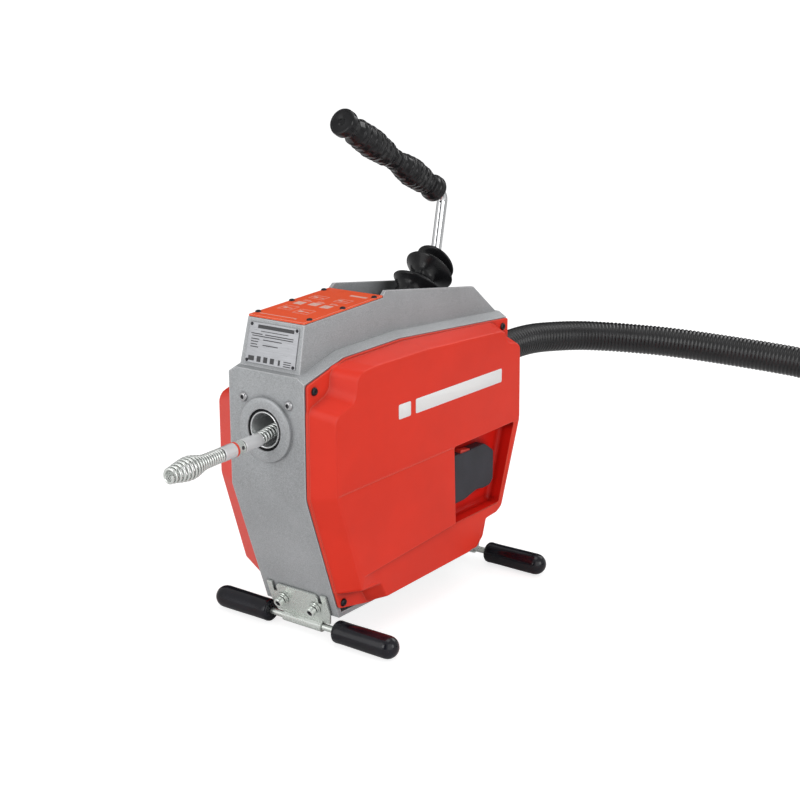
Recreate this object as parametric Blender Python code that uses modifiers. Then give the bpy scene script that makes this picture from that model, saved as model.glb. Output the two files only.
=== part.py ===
"""Drain snake machine: a sectional drain cleaner that clamps and spins a steel spiral.

The machine stands on z = 0. The spindle runs along Y, with its mouth towards -Y.
The right-hand cover, with the switch pocket, is on +X. All lengths are in metres.
"""

import math

import bmesh
import bpy
from mathutils import Matrix, Vector

MM = 0.001
GAP = 0.3 * MM  # clearance between pieces that touch
ROUND = 24  # facets of a large turned piece
SMALL_ROUND = 12  # facets of a small turned piece

# Driving dimensions of the casting
HALF_WIDTH = 56.5 * MM
RIDGE_HALF = 45.5 * MM  # half width where the sloping shoulder meets the neck
SHOULDER_RISE = 6.5 * MM
WALL = 6 * MM
FRONT_Y = -154.5 * MM
REAR_Y = 257 * MM
BEND_Z = 195 * MM  # front and rear walls slant inwards below this height
BOTTOM_Z = 33 * MM
FRONT_SILL_Y = -97.5 * MM
REAR_SILL_Y = 200 * MM
NECK_HALF = 44.9 * MM  # half width of the neck at its foot
NECK_FOOT_Z = 335 * MM
NECK_TAPER = 0.05  # each side leans in by this much per unit of height
NECK_WALL = 4.5 * MM
PLATE_THICK = 2.5 * MM

# Driving dimensions of the drive
AXIS_Z = 270 * MM
SPIRAL_R = 8 * MM
BORE_R = 21.5 * MM
SPINDLE_R = 24.6 * MM
MOTOR_Z = 122 * MM
BELT_Y = (-100 * MM, -82 * MM)
SPINDLE_PULLEY_R = 63 * MM
MOTOR_PULLEY_R = 22.5 * MM
BELT_THICK = 4 * MM
JAW_Y = (92 * MM, 116 * MM)
JAW_CLOSE = 5.5 * MM
RING_TRAVEL = 20 * MM
CONE_SLOPE = JAW_CLOSE / RING_TRAVEL
RING_Y = (76 * MM, 121 * MM)
GROOVE_Y = (83 * MM, 93 * MM)
PIVOT = Vector((0, 98 * MM, 362 * MM))
FORK_REACH = 57.5 * MM
FORK_SWING = 10.0  # degrees that the fork leans forward at rest
NOZZLE_END_Y = 318 * MM

# Driving dimensions of the covers and feet
COVER_X0 = 57 * MM
FLANGE_THICK = 3 * MM
COVER_WALL = 3 * MM
RIGHT_FACE_X = 85 * MM
LEFT_FACE_X = 99 * MM
GRIP_R = 14 * MM
GRIP_IN = 51 * MM
GRIP_OUT = 141.2 * MM
FOOT_ROD_R = 4 * MM
FRONT_FOOT_Y = -95.4 * MM
REAR_FOOT_Y = 231.4 * MM

# Driving dimensions of the guide hose
HOSE_R = 21 * MM
LOOP_CENTRE = (645 * MM, 421 * MM)
LOOP_R = 181 * MM
LOOP_SHRINK = 8 * MM  # the loop's radius shrinks by this much a turn
LOOP_TOP_Z = 120 * MM  # height of the hose where its loop starts
LOOP_DROP = 112  # degrees of the loop over which the hose comes down to the floor
LOOP_FLOOR = 268  # degrees of the loop that lie on the floor

main = bpy.data.collections.new("drain_snake_machine")
cutters = bpy.data.collections.new("cutters")


def mm_points(points):
    return [tuple(c * MM for c in p) for p in points]


def material(name, colour, roughness, metallic=0.0):
    made = bpy.data.materials.new(name)
    made.use_nodes = True
    shader = made.node_tree.nodes["Principled BSDF"]
    shader.inputs["Base Color"].default_value = (*colour, 1.0)
    shader.inputs["Roughness"].default_value = roughness
    shader.inputs["Metallic"].default_value = metallic
    return made


def add(name, mesh, finish):
    """Puts a mesh in the model; with no finish it is a cutter."""
    made = bpy.data.objects.new(name, mesh)
    if finish is None:
        cutters.objects.link(made)
        made.hide_render = True
        made.display_type = "WIRE"
    else:
        main.objects.link(made)
        mesh.materials.append(finish)
    return made


def loft(name, loops, finish=None):
    """Skins closed loops of equal count and caps both ends."""
    bm = bmesh.new()
    rings = [[bm.verts.new(p) for p in loop] for loop in loops]
    count = len(rings[0])
    for a, b in zip(rings, rings[1:]):
        for i in range(count):
            j = (i + 1) % count
            bm.faces.new((a[i], a[j], b[j], b[i]))
    bm.faces.new(rings[0])
    bm.faces.new(rings[-1])
    bmesh.ops.recalc_face_normals(bm, faces=bm.faces)
    mesh = bpy.data.meshes.new(name)
    bm.to_mesh(mesh)
    bm.free()
    return add(name, mesh, finish)


def side_prism(name, outline, x0, x1, finish=None):
    """A side-view outline of (y, z) points, extruded from x0 to x1."""
    return loft(name, [[(x, y, z) for y, z in outline] for x in (x0, x1)], finish)


def block(name, low, high, finish=None, bevel=0.0):
    bm = bmesh.new()
    bmesh.ops.create_cube(bm, size=1.0)
    low = Vector(low)
    high = Vector(high)
    bmesh.ops.transform(bm, matrix=Matrix.Diagonal((high - low).to_4d()), verts=bm.verts)
    mesh = bpy.data.meshes.new(name)
    bm.to_mesh(mesh)
    bm.free()
    made = add(name, mesh, finish)
    made.location = (low + high) / 2
    if bevel:
        edge = made.modifiers.new("edges", "BEVEL")
        edge.width = bevel
        edge.segments = 2
    return made


def turned(
    name, profile, finish=None, origin=(0, 0, AXIS_Z), axis=(0, 1, 0), sides=ROUND, closed=True
):
    """Turns (radius, height) points about an axis; the outer side runs from top to bottom."""
    mesh = bpy.data.meshes.new(name)
    count = len(profile)
    edges = [(i, i + 1) for i in range(count - 1)]
    if closed:
        edges.append((count - 1, 0))
    mesh.from_pydata([(r, 0, h) for r, h in profile], edges, [])
    made = add(name, mesh, finish)
    screw = made.modifiers.new("turn", "SCREW")
    screw.steps = sides
    screw.render_steps = sides
    screw.use_merge_vertices = True
    screw.merge_threshold = 1e-5
    made.location = origin
    made.rotation_euler = Vector(axis).to_track_quat("Z", "Y").to_euler()
    return made


def ring(name, r_in, r_out, low, high, finish=None, **place):
    return turned(name, [(r_out, high), (r_out, low), (r_in, low), (r_in, high)], finish, **place)


def disc(name, radius, low, high, finish=None, **place):
    profile = [(0, high), (radius, high), (radius, low), (0, low)]
    return turned(name, profile, finish, closed=False, **place)


def curve_object(name, points, radius, finish, sides=2):
    data = bpy.data.curves.new(name, "CURVE")
    data.dimensions = "3D"
    data.bevel_depth = radius
    data.bevel_resolution = sides
    data.use_fill_caps = True
    line = data.splines.new("POLY")
    line.points.add(len(points) - 1)
    for point, place in zip(line.points, points):
        point.co = (*place, 1)
    made = bpy.data.objects.new(name, data)
    (main if finish else cutters).objects.link(made)
    if finish:
        data.materials.append(finish)
    return made


def as_mesh(tube, finish=None):
    """Replaces a curve object by its welded mesh, so that it can be cut or joined."""
    bpy.context.view_layer.update()
    depsgraph = bpy.context.evaluated_depsgraph_get()
    mesh = bpy.data.meshes.new_from_object(tube.evaluated_get(depsgraph))
    bm = bmesh.new()
    bm.from_mesh(mesh)
    bmesh.ops.remove_doubles(bm, verts=bm.verts, dist=1e-6)
    bmesh.ops.recalc_face_normals(bm, faces=bm.faces)
    bm.to_mesh(mesh)
    bm.free()
    name = tube.name
    place = tube.matrix_world.copy()
    bpy.data.objects.remove(tube)
    mesh.materials.clear()
    made = add(name, mesh, finish)
    made.name = name
    made.matrix_world = place
    return made


def combine(target, other, operation):
    step = target.modifiers.new(operation.lower(), "BOOLEAN")
    step.operation = operation
    step.object = other
    return target


def cut(target, *others):
    for other in others:
        combine(target, other, "DIFFERENCE")
    return target


def join(target, *others):
    for other in others:
        combine(target, other, "UNION")
    return target


def inset(outline, distance):
    """Moves each side of a closed outline inwards, for outlines that run clockwise or not."""
    count = len(outline)
    area = sum(
        outline[i][0] * outline[(i + 1) % count][1] - outline[(i + 1) % count][0] * outline[i][1]
        for i in range(count)
    )
    turn = distance if area > 0 else -distance
    moved = []
    for i in range(count):
        here = Vector(outline[i])
        before = (here - Vector(outline[i - 1])).normalized()
        after = (Vector(outline[(i + 1) % count]) - here).normalized()
        inward = Vector((-before.y, before.x)) + Vector((-after.y, after.x))
        moved.append(tuple(here + inward * (turn / (1 + before.dot(after)))))
    return moved


def rounded_path(corners, radius, steps=5):
    """Straight runs through the corners, with each inner corner rounded by an arc."""
    points = [Vector(corners[0])]
    for before, corner, after in zip(corners, corners[1:], corners[2:]):
        before, corner, after = Vector(before), Vector(corner), Vector(after)
        into = (corner - before).normalized()
        out = (after - corner).normalized()
        half = into.angle(out) / 2
        back = radius * math.tan(half)
        centre = corner + (out - into).normalized() * (radius / math.cos(half))
        start = (corner - into * back - centre).normalized()
        end = (corner + out * back - centre).normalized()
        points += [centre + start.slerp(end, k / steps) * radius for k in range(steps + 1)]
    points.append(Vector(corners[-1]))
    return points


def smooth_line(points, spacing):
    """A smooth curve through the points (Catmull-Rom), read off at an even spacing."""
    ends = [2 * Vector(points[0]) - Vector(points[1]), 2 * Vector(points[-1]) - Vector(points[-2])]
    knots = [ends[0], *map(Vector, points), ends[1]]
    fine = []
    for a, b, c, d in zip(knots, knots[1:], knots[2:], knots[3:]):
        for k in range(24):
            t = k / 24
            linear = 2 * b + (c - a) * t
            fine.append((linear + (2 * a - 5 * b + 4 * c - d) * t**2 + (3 * b - a - 3 * c + d) * t**3) / 2)
    fine.append(knots[-2])
    length = sum((b - a).length for a, b in zip(fine, fine[1:]))
    count = round(length / spacing)
    even = [fine[0]]
    run = 0.0
    for a, b in zip(fine, fine[1:]):
        step = (b - a).length
        while run + step >= len(even) * length / count and len(even) < count:
            even.append(a.lerp(b, (len(even) * length / count - run) / step))
        run += step
    even.append(fine[-1])
    return even


def screw_holes(name, targets, head, direction, shank_r, length):
    for target in targets:
        radius = shank_r * MM + GAP
        cut(target, disc(name, radius, -length * MM - GAP, 3 * MM, origin=head, axis=direction, sides=8))


def fasten(
    name, head, direction, finish, into=(), head_r=4.5, head_h=3.0, shank_r=2.2, length=12.0,
    sides=SMALL_ROUND,
):
    """A screw whose head's underside is at `head`, pointing out along `direction`, with its holes."""
    r, h, s, deep = (v * MM for v in (head_r, head_h, shank_r, length))
    profile = [(0, h), (r, h), (r, GAP), (s, GAP), (s, -deep), (0, -deep)]
    screw_holes(name + "_hole", into, head, direction, shank_r, length)
    return turned(name, profile, finish, origin=head, axis=direction, sides=sides, closed=False)


def tapered_prism(name, outline, inset_x, finish=None):
    """A prism of the neck: its sides lean in towards the top."""

    def half(z):
        return NECK_HALF - inset_x - NECK_TAPER * (z - NECK_FOOT_Z)

    return loft(name, [[(side * half(z), y, z) for y, z in outline] for side in (-1, 1)], finish)


# Outlines in side view, (y, z), in millimetres until scaled
HOUSING_SIDE = mm_points(
    [(-154.5, 330.5), (-154.5, 195), (-97.5, 33), (200, 33), (257, 206), (257, 337.5), (22, 352),
     (-85, 349)]
)
RAISED = (0, 5, 6, 7)  # points of HOUSING_SIDE that rise to the ridge of the shoulder
NECK_SIDE = mm_points(
    [(-148.7, 334), (-134.6, 392.6), (10.3, 400.7), (10.3, 404), (16, 408.6), (200, 385), (252, 343.5),
     (252, 340)]
)
NECK_HOLLOW = mm_points(
    [(-144, 346), (-130, 395), (6, 403), (10, 420), (200, 420), (246, 360), (246, 341), (22, 353),
     (-85, 350.5)]
)
FLANGE = mm_points(
    [(-153.8, 329), (-153.8, 195.4), (-102, 47), (-42, 35.5), (190, 35.5), (204, 47), (256.2, 206),
     (256.2, 336.4), (22, 351), (-85, 348)]
)
COVER_FACE = mm_points(
    [(-130.5, 195), (-130.5, 285), (-125, 292.5), (-99, 300.5), (-93.2, 308), (-90, 327.5), (-82, 334.5),
     (-60, 337), (44, 337.5), (207, 330), (216, 326.5), (219.5, 317), (226, 311), (246, 307), (252.5, 301),
     (254.5, 206), (216.5, 91), (206, 85), (182, 83.5), (174.5, 78), (167.5, 60), (158, 51), (145, 47),
     (-34, 44.5), (-46, 66), (-89, 71)]
)
COVER_BASE = mm_points(
    [(-153.4, 196), (-153.4, 299), (-149.5, 305), (-124, 314), (-117.3, 321.5), (-115.5, 337), (-109, 343),
     (-85, 347), (22, 350), (211, 339), (223, 336), (228, 326), (234, 320), (250, 316), (255.6, 310),
     (255.6, 206), (217.5, 90), (208, 80.5), (184.5, 78.5), (178, 73.5), (171.5, 57), (163, 44), (150, 38), (-50, 37),
     (-62, 56), (-108, 66)]
)
POCKET = mm_points([(103, 200.5), (241, 202), (209, 98.5), (104, 99.5)])
COVER_SCREWS = mm_points([(-141, 321), (-93.5, 52.5), (243, 327), (192, 57)])


def make_housing(grey):
    def side(x, rise):
        return [(x, y, z + (rise if i in RAISED else 0)) for i, (y, z) in enumerate(HOUSING_SIDE)]

    sections = ((-HALF_WIDTH, 0), (-RIDGE_HALF, SHOULDER_RISE), (RIDGE_HALF, SHOULDER_RISE), (HALF_WIDTH, 0))
    housing = loft("housing", [side(x, rise) for x, rise in sections], grey)
    join(housing, tapered_prism("neck", NECK_SIDE, 0))
    boss = ring("mouth_boss", 23 * MM, 34 * MM, FRONT_Y - 4.5 * MM, FRONT_Y + 2 * MM)
    join(housing, boss)
    bay = side_prism("bay", inset(HOUSING_SIDE, WALL), -0.07, 0.07)
    hollow = tapered_prism("neck_hollow", NECK_HOLLOW, NECK_WALL)
    slot = block("fork_slot", (-33 * MM, 80 * MM, 0.335), (33 * MM, 116 * MM, 0.37))
    mouth = disc("mouth", 24.9 * MM, FRONT_Y - 0.02, FRONT_Y + 0.02)
    rear_hole = disc("rear_hole", 23 * MM, REAR_Y - 0.02, REAR_Y + 0.02)
    cut(housing, bay, hollow, slot, mouth, rear_hole)
    return housing


def make_cover(name, side, face_x, red):
    """A drafted shell on a flat flange. side is +1 for the right cover and -1 for the left one."""

    def at(outline, x):
        return [(side * x, y, z) for y, z in outline]

    cover = loft(name, [at(COVER_BASE, COVER_X0 + 1.5 * MM), at(COVER_FACE, face_x)], red)
    flange = side_prism(name + "_flange", FLANGE, side * COVER_X0, side * (COVER_X0 + FLANGE_THICK))
    inner = [
        at(inset(COVER_BASE, COVER_WALL + 1 * MM), COVER_X0 - 2 * MM),
        at(inset(COVER_FACE, COVER_WALL), face_x - COVER_WALL),
    ]
    join(cover, flange)
    cut(cover, loft(name + "_hollow", inner))
    return cover


def make_pocket(cover):
    shell = side_prism("pocket_shell", inset(POCKET, -COVER_WALL), 58.5 * MM, RIGHT_FACE_X - 1 * MM)
    hollow = side_prism("pocket_hollow", POCKET, 61.5 * MM, RIGHT_FACE_X + 5 * MM)
    join(cover, shell)
    cut(cover, hollow)


def make_foot(name, side, foot_y, wall, finishes, housing):
    """A rod with two grips, under a bracket plate on the slanting wall. side is -1 in front, +1 behind."""
    sill, bend = wall
    steel, zinc, vinyl = finishes
    z = GRIP_R
    reach = GRIP_OUT - 10 * MM
    place = {"origin": (0, foot_y, z), "axis": (1, 0, 0), "sides": SMALL_ROUND}
    disc(name + "_bar", FOOT_ROD_R, -reach, reach, steel, **place)
    for hand, way in (("left", -1), ("right", 1)):
        r = GRIP_R
        long = GRIP_OUT - GRIP_IN
        bore = FOOT_ROD_R + GAP
        hole = reach - GRIP_IN + 1 * MM
        profile = [(0, long)]
        profile += [(r * math.sin(a), long - r + r * math.cos(a)) for a in (0.45, 0.95, math.pi / 2)]
        profile += [(r, 4 * MM), (r - 1.2 * MM, 1.2 * MM), (r - 4 * MM, 0)]
        profile += [(bore, 0), (bore, hole), (0, hole)]
        turned(
            f"{name}_grip_{hand}", profile, vinyl, origin=(way * GRIP_IN, foot_y, z), axis=(way, 0, 0),
            sides=16, closed=False,
        )
    up = Vector((0, bend[0] - sill[0], bend[1] - sill[1])).normalized()
    out = Vector((0, side * up.z, -side * up.y))
    base = Vector((0, sill[0], sill[1])) + out * GAP
    rod_height = (Vector((0, foot_y, z)) - base).dot(up)
    low = (rod_height + FOOT_ROD_R) / MM + 1.6
    half = [(41, low), (46, 4), (46, 30), (38, 30), (38, 17), (32.5, 17), (32.5, 25), (29, 29)]
    outline = mm_points([*half, *[(-x, h) for x, h in reversed(half)]])

    def slab(part, shape, near, far, finish=None):
        loops = [[tuple(base + Vector((x, 0, 0)) + up * h + out * d) for x, h in shape] for d in (near, far)]
        return loft(f"{name}_{part}", loops, finish)

    plate = slab("bracket", outline, 0, 3 * MM, zinc)
    # the plate's lower edge runs out over the rod and is rolled round it
    stand_off = (Vector((0, foot_y, z)) - base).dot(out)
    lip = mm_points([(-31, low + 0.3), (31, low + 0.3), (31, low + 3), (-31, low + 3)])
    join(plate, slab("lip", lip, 0.4 * MM, stand_off))
    join(plate, ring("rolled_edge", FOOT_ROD_R + GAP, FOOT_ROD_R + 2.6 * MM, -30 * MM, 30 * MM, **place))
    for number, x in ((1, -25 * MM), (2, 25 * MM)):
        seat = base + up * 9 * MM + Vector((x, 0, 0))
        screw_holes(f"{name}_bolt_hole", (plate, housing), seat, out, 3, 12)
        # a socket head, its neck, a spacer collar on the plate, and the threaded end
        bolt = [(0, 15), (6, 15), (6, 8), (3.6, 8), (3.6, 6.6), (6.4, 6.6), (6.4, 3.3), (3, 3.3), (3, -11)]
        turned(
            f"{name}_bolt_{number}", mm_points([*bolt, (0, -11)]), zinc, origin=seat, axis=out,
            sides=SMALL_ROUND, closed=False,
        )


def make_drive(steel, cast, rubber):
    y0, y1 = BELT_Y
    spindle = ring("spindle", BORE_R, SPINDLE_R, -152 * MM, 202 * MM, steel)
    for k in range(3):
        slot = block("jaw_slot", (-6.5 * MM, 90 * MM, 10 * MM), (6.5 * MM, 118 * MM, 40 * MM))
        turn = Matrix.Rotation(k * math.tau / 3, 4, "Y")
        slot.matrix_world = Matrix.Translation((0, 0, AXIS_Z)) @ turn @ Matrix.Translation(slot.location)
        cut(spindle, slot)
    ring("bearing_front", SPINDLE_R + GAP, 37 * MM, -132 * MM, -118 * MM, steel)
    ring("bearing_rear", SPINDLE_R + GAP, 37 * MM, 180 * MM, 194 * MM, steel)
    flange = turned(
        "front_bearing_flange",
        mm_points(
            [(44, -142), (44, -115), (37.3, -115), (37.3, -136), (25.5, -136), (25.5, -148.2),
             (53, -148.2), (53, -142)]
        ),
        cast,
    )
    bridge = block(
        "rear_bearing_bridge", (-55.5 * MM, 196 * MM, 205 * MM), (55.5 * MM, 204 * MM, 333.5 * MM), cast
    )
    join(bridge, disc("bridge_boss", 45 * MM, 182 * MM, 200 * MM, sides=ROUND))
    cut(bridge, disc("bridge_seat", 37.3 * MM, 170 * MM, 195 * MM))
    cut(bridge, disc("bridge_bore", 27 * MM, 170 * MM, 210 * MM))
    turned(
        "spindle_pulley",
        [
            (SPINDLE_PULLEY_R, y1), (SPINDLE_PULLEY_R, y0), (54 * MM, y0), (54 * MM, -94 * MM),
            (32 * MM, -94 * MM), (32 * MM, y0 - 2 * MM), (SPINDLE_R + GAP, y0 - 2 * MM),
            (SPINDLE_R + GAP, y1 + 2 * MM), (32 * MM, y1 + 2 * MM), (32 * MM, -88 * MM),
            (54 * MM, -88 * MM), (54 * MM, y1),
        ],
        cast,
    )
    at_motor = {"origin": (0, 0, MOTOR_Z)}
    ring("motor_pulley", 8.3 * MM, MOTOR_PULLEY_R, y0, y1, cast, sides=20, **at_motor)
    rotor = [(0, 88), (8, 88), (8, 70), (30, 70), (30, -50), (8, -50), (8, -103), (0, -103)]
    turned("motor_rotor", mm_points(rotor), steel, closed=False, sides=20, **at_motor)
    turned(
        "motor_casing",
        mm_points(
            [(0, 96), (50, 96), (50, -72), (10, -72), (10, -64), (32, -62), (32, 84), (10, 85), (10, 89),
             (0, 89)]
        ),
        cast, closed=False, sides=24, **at_motor,
    )
    make_belt(rubber)
    return flange


def make_belt(rubber):
    """An open belt: two arcs about the pulleys joined by straight runs."""
    drop = AXIS_Z - MOTOR_Z
    lean = math.asin((SPINDLE_PULLEY_R - MOTOR_PULLEY_R) / drop)
    low = BELT_Y[0] + 1.5 * MM
    high = BELT_Y[1] - 1.5 * MM

    def loop(extra):
        points = []
        for radius, z, start, end, steps in (
            (SPINDLE_PULLEY_R, AXIS_Z, -lean, math.pi + lean, 18),
            (MOTOR_PULLEY_R, MOTOR_Z, math.pi + lean, math.tau - lean, 10),
        ):
            for k in range(steps + 1):
                a = start + (end - start) * k / steps
                # facets lie inside their circle, so the belt's inner side stands off by the sagitta
                r = radius + GAP + 0.4 * MM + extra
                points.append((r * math.cos(a), z + r * math.sin(a)))
        return points

    belt = loft("drive_belt", [[(x, y, z) for x, z in loop(BELT_THICK)] for y in (low, high)], rubber)
    cut(belt, loft("belt_hollow", [[(x, y, z) for x, z in loop(0)] for y in (low - 0.01, high + 0.01)]))


def make_clamp(steel):
    """Three jaws in the spindle's slots, and the cone ring that closes them."""
    r_front = 27 * MM
    r_rear = r_front + CONE_SLOPE * (JAW_Y[1] - JAW_Y[0])
    inner = SPIRAL_R + 0.5 * MM + JAW_CLOSE
    side = [(JAW_Y[0], inner), (JAW_Y[0], r_front), (JAW_Y[1], r_rear), (JAW_Y[1], inner)]
    for k in range(3):
        jaw = side_prism(f"clamp_jaw_{k + 1}", side, -6 * MM, 6 * MM, steel)
        jaw.matrix_world = Matrix.Translation((0, 0, AXIS_Z)) @ Matrix.Rotation(k * math.tau / 3, 4, "Y")
    # the jaws' flat tops stand proud at their edges, so the cone clears their corners
    corner = math.hypot(r_front, 6 * MM) - r_front + 0.5 * MM

    def cone(y):
        return r_front + CONE_SLOPE * (y - JAW_Y[0]) + corner

    start = JAW_Y[0] + (25.1 * MM - r_front - corner) / CONE_SLOPE
    start = max(start, RING_Y[0] + 2 * MM)
    turned(
        "clamp_ring",
        [
            (44 * MM, RING_Y[1]), (44 * MM, GROOVE_Y[1]), (38 * MM, GROOVE_Y[1]), (38 * MM, GROOVE_Y[0]),
            (44 * MM, GROOVE_Y[0]), (44 * MM, RING_Y[0]), (25.1 * MM, RING_Y[0]), (25.1 * MM, start),
            (cone(RING_Y[1]), RING_Y[1]),
        ],
        steel,
    )
    turns = 6
    low = RING_Y[1] + 2.2 * MM
    high = 178 * MM
    coil = []
    for k in range(turns * 14 + 1):
        a = k * math.tau / 14
        y = low + (high - low) * k / (turns * 14)
        coil.append((39 * MM * math.cos(a), y, AXIS_Z + 39 * MM * math.sin(a)))
    curve_object("clamp_return_spring", coil, 1.5 * MM, steel, sides=0)


def make_lever(chrome, rubber, steel, bronze):
    bend_low = (0, 172.5 * MM, 413.5 * MM)
    grip_start = Vector((0, 175 * MM, 508.3 * MM))
    grip_end = Vector((0, -14 * MM, 606.5 * MM))
    along = (grip_end - grip_start).normalized()
    bend_high = tuple(grip_start - along * 17.5 * MM)
    rod_end = grip_end - along * 16 * MM
    path = [tuple(PIVOT), bend_low, bend_high, tuple(rod_end)]
    lever = as_mesh(curve_object("lever", rounded_path(path, 11 * MM, 4), 6.5 * MM, None, sides=3), chrome)
    hub = disc("lever_hub", 12 * MM, -30.4 * MM, 30.4 * MM, origin=PIVOT, axis=(1, 0, 0), sides=20)
    join(lever, hub)
    lean = math.radians(FORK_SWING)
    tip = PIVOT + Vector((0, -math.sin(lean), -math.cos(lean))) * FORK_REACH
    for way in (-1, 1):
        inner, outer = sorted((way * 24 * MM, way * 31 * MM))
        trim = 0.2 * MM  # keeps the arm's sides off the pad's
        arm = block("fork_arm", (inner + trim, -3.5 * MM, -FORK_REACH), (outer - trim, 3.5 * MM, -9 * MM))
        arm.matrix_world = (
            Matrix.Translation(PIVOT) @ Matrix.Rotation(-lean, 4, "X") @ Matrix.Translation(arm.location)
        )
        pad = disc("fork_pad", 4.5 * MM, inner, outer, origin=(0, tip.y, tip.z), axis=(1, 0, 0), sides=16)
        join(lever, arm, pad)
    cut(lever, disc("pivot_bore", 6.3 * MM, -0.05, 0.05, origin=PIVOT, axis=(1, 0, 0), sides=16))
    disc("lever_pivot_pin", 6 * MM, -38.4 * MM, 38.4 * MM, steel, origin=PIVOT, axis=(1, 0, 0), sides=16)
    for hand, way in (("left", -1), ("right", 1)):
        ring(
            f"pivot_bush_{hand}", 6.3 * MM, 10 * MM, 32 * MM, 38.2 * MM, bronze,
            origin=PIVOT, axis=(way, 0, 0), sides=16,
        )
    length = (grip_end - grip_start).length
    bore = 6.5 * MM + GAP + 0.2 * MM
    hole = length - 14 * MM
    swell = [(16.8, 0.04), (13.2, 0.09), (17, 0.28), (12.9, 0.46), (17.2, 0.7), (12.5, 0.92), (16.4, 0.95)]
    profile = [(0, length), (15.5 * MM, length), (16.8 * MM, length - 1.5 * MM)]
    profile += [(r * MM, length * share) for r, share in reversed(swell)]
    profile += [(16.8 * MM, 1 * MM), (16 * MM, 0), (bore, 0), (bore, hole), (0, hole)]
    turned("lever_grip", profile, rubber, origin=grip_start, axis=along, sides=16, closed=False)
    boot_axis = (Vector(bend_low) - PIVOT).normalized()
    clear = 6.5 * MM + GAP + 0.4 * MM
    lobes = [(20, 86), (27, 82), (20, 77), (14, 74), (20, 72), (33, 67), (22, 62), (15, 57), (20, 52),
             (36, 44), (30, 38), (24, 30)]
    boot = [(clear, 86 * MM), *mm_points(lobes), (clear, 30 * MM)]
    turned("lever_boot", boot, rubber, origin=PIVOT, axis=boot_axis, sides=20)


def make_spiral(steel, zinc):
    """The drawn section: straight inside the machine, sagging a little outside the mouth."""
    sag = ((300, 270), (-90, 270), (-112, 269.4), (-130, 267.9), (-148, 265.6), (-162, 262.6),
           (-173, 260.9), (-184, 260.4))
    axis = [(0, y * MM, z * MM) for y, z in sag]
    curve_object("spiral", axis, SPIRAL_R, steel, sides=2)
    start = Vector((0, -184 * MM, 260.4 * MM))
    along = Vector((0, -1, -0.045)).normalized()
    place = {"origin": start, "axis": along, "sides": 16}
    disc("spiral_coupling", 8.2 * MM, GAP, 18 * MM, zinc, **place)
    profile = [(8.6, 133.8), (8.6, 130), (13, 119), (13.9, 106), (12.5, 92), (8.3, 77), (8.2, 18.3)]
    profile = [(0, 133.8), *profile, (0, 18.3)]
    turned("club_auger", mm_points(profile), steel, closed=False, **place)


def make_switch(dark, rocker_red):
    corners = mm_points([(61.8, 112, 119), (76, 204, 185)])
    box = block("switch_box", *corners, dark, bevel=3 * MM)
    cut(box, block("rocker_recess", *mm_points([(64, 128, 176), (74.4, 152, 195)])))
    outline = mm_points([(128.8, 181), (130, 188.3), (140, 186.5), (150, 185.5), (151.2, 181), (140, 178)])
    side_prism("switch_rocker", outline, 64.6 * MM, 73.8 * MM, rocker_red)


def make_plates(housing, orange, silver, dark):
    """The plate on top of the neck, its six screws, and the blank rating plate in front."""
    low = Vector((0, -134.3 * MM, 393.0 * MM))
    high = Vector((0, 9.8 * MM, 401.1 * MM))
    along = (high - low).normalized()
    up = Vector((0, -along.z, along.y))

    def half(point):
        return NECK_HALF - 0.6 * MM - NECK_TAPER * (point.z - NECK_FOOT_Z)

    loops = []
    for lift in (0, PLATE_THICK):
        a = low + up * lift
        b = high + up * lift
        loops.append([(-half(a), *a[1:]), (half(a), *a[1:]), (half(b), *b[1:]), (-half(b), *b[1:])])
    plate = loft("top_plate", loops, orange)
    number = 0
    for x in (-38.4 * MM, 38.4 * MM):
        for share in (0.09, 0.5, 0.91):
            number += 1
            head = low.lerp(high, share) + up * PLATE_THICK + Vector((x, 0, 0))
            fasten(
                f"top_plate_screw_{number}", head, up, dark, (plate, housing), head_r=3.2, head_h=2.2,
                shank_r=1.6, length=9, sides=10,
            )
    foot = Vector((0, -148.7 * MM, 334 * MM))
    top = Vector((0, -134.6 * MM, 392.6 * MM))
    along = (top - foot).normalized()
    out = Vector((0, -along.z, along.y))
    loops = []
    for lift in (GAP, GAP + 0.8 * MM):
        a = foot + along * 9 * MM + out * lift
        b = foot + along * 55.5 * MM + out * lift
        loops.append([(-37.5 * MM, *a[1:]), (37.5 * MM, *a[1:]), (36.5 * MM, *b[1:]), (-36.5 * MM, *b[1:])])
    loft("rating_plate", loops, silver)


def make_hose(rubber):
    free = mm_points(
        [(0, 326, 270), (0.5, 352, 272.5), (4, 391, 274), (15, 427, 273), (37, 469, 270.5),
         (64, 500, 267.5), (100, 526, 264.5), (142, 548, 261.6), (190, 566, 258), (240, 579, 254.5),
         (292, 590, 251), (345, 598, 246), (400, 603, 233), (463, 605, 210), (526, 605, 181),
         (588, 604, 150)]
    )
    cx, cy = LOOP_CENTRE
    rest = HOSE_R + GAP
    turns = []
    for degrees in range(0, LOOP_DROP + LOOP_FLOOR + 1, 10):
        a = math.radians(90 - degrees)
        r = LOOP_R - LOOP_SHRINK * degrees / 360
        share = min(1.0, degrees / LOOP_DROP)
        z = rest + (LOOP_TOP_Z - rest) * (1 - share) ** 2
        turns.append((cx + r * math.cos(a), cy + r * math.sin(a), z))
    start = (0, NOZZLE_END_Y + GAP, AXIS_Z)
    line = [start, *smooth_line([*free, *turns], 40 * MM)]
    curve_object("guide_hose", line, HOSE_R, rubber, sides=2)
    end = line[-1]
    along = (line[-1] - line[-2]).normalized()
    place = {"origin": end, "axis": along, "sides": 16}
    ring("hose_end_cuff", 16 * MM, HOSE_R, 0.9 * MM, 45 * MM, rubber, **place)


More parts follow.
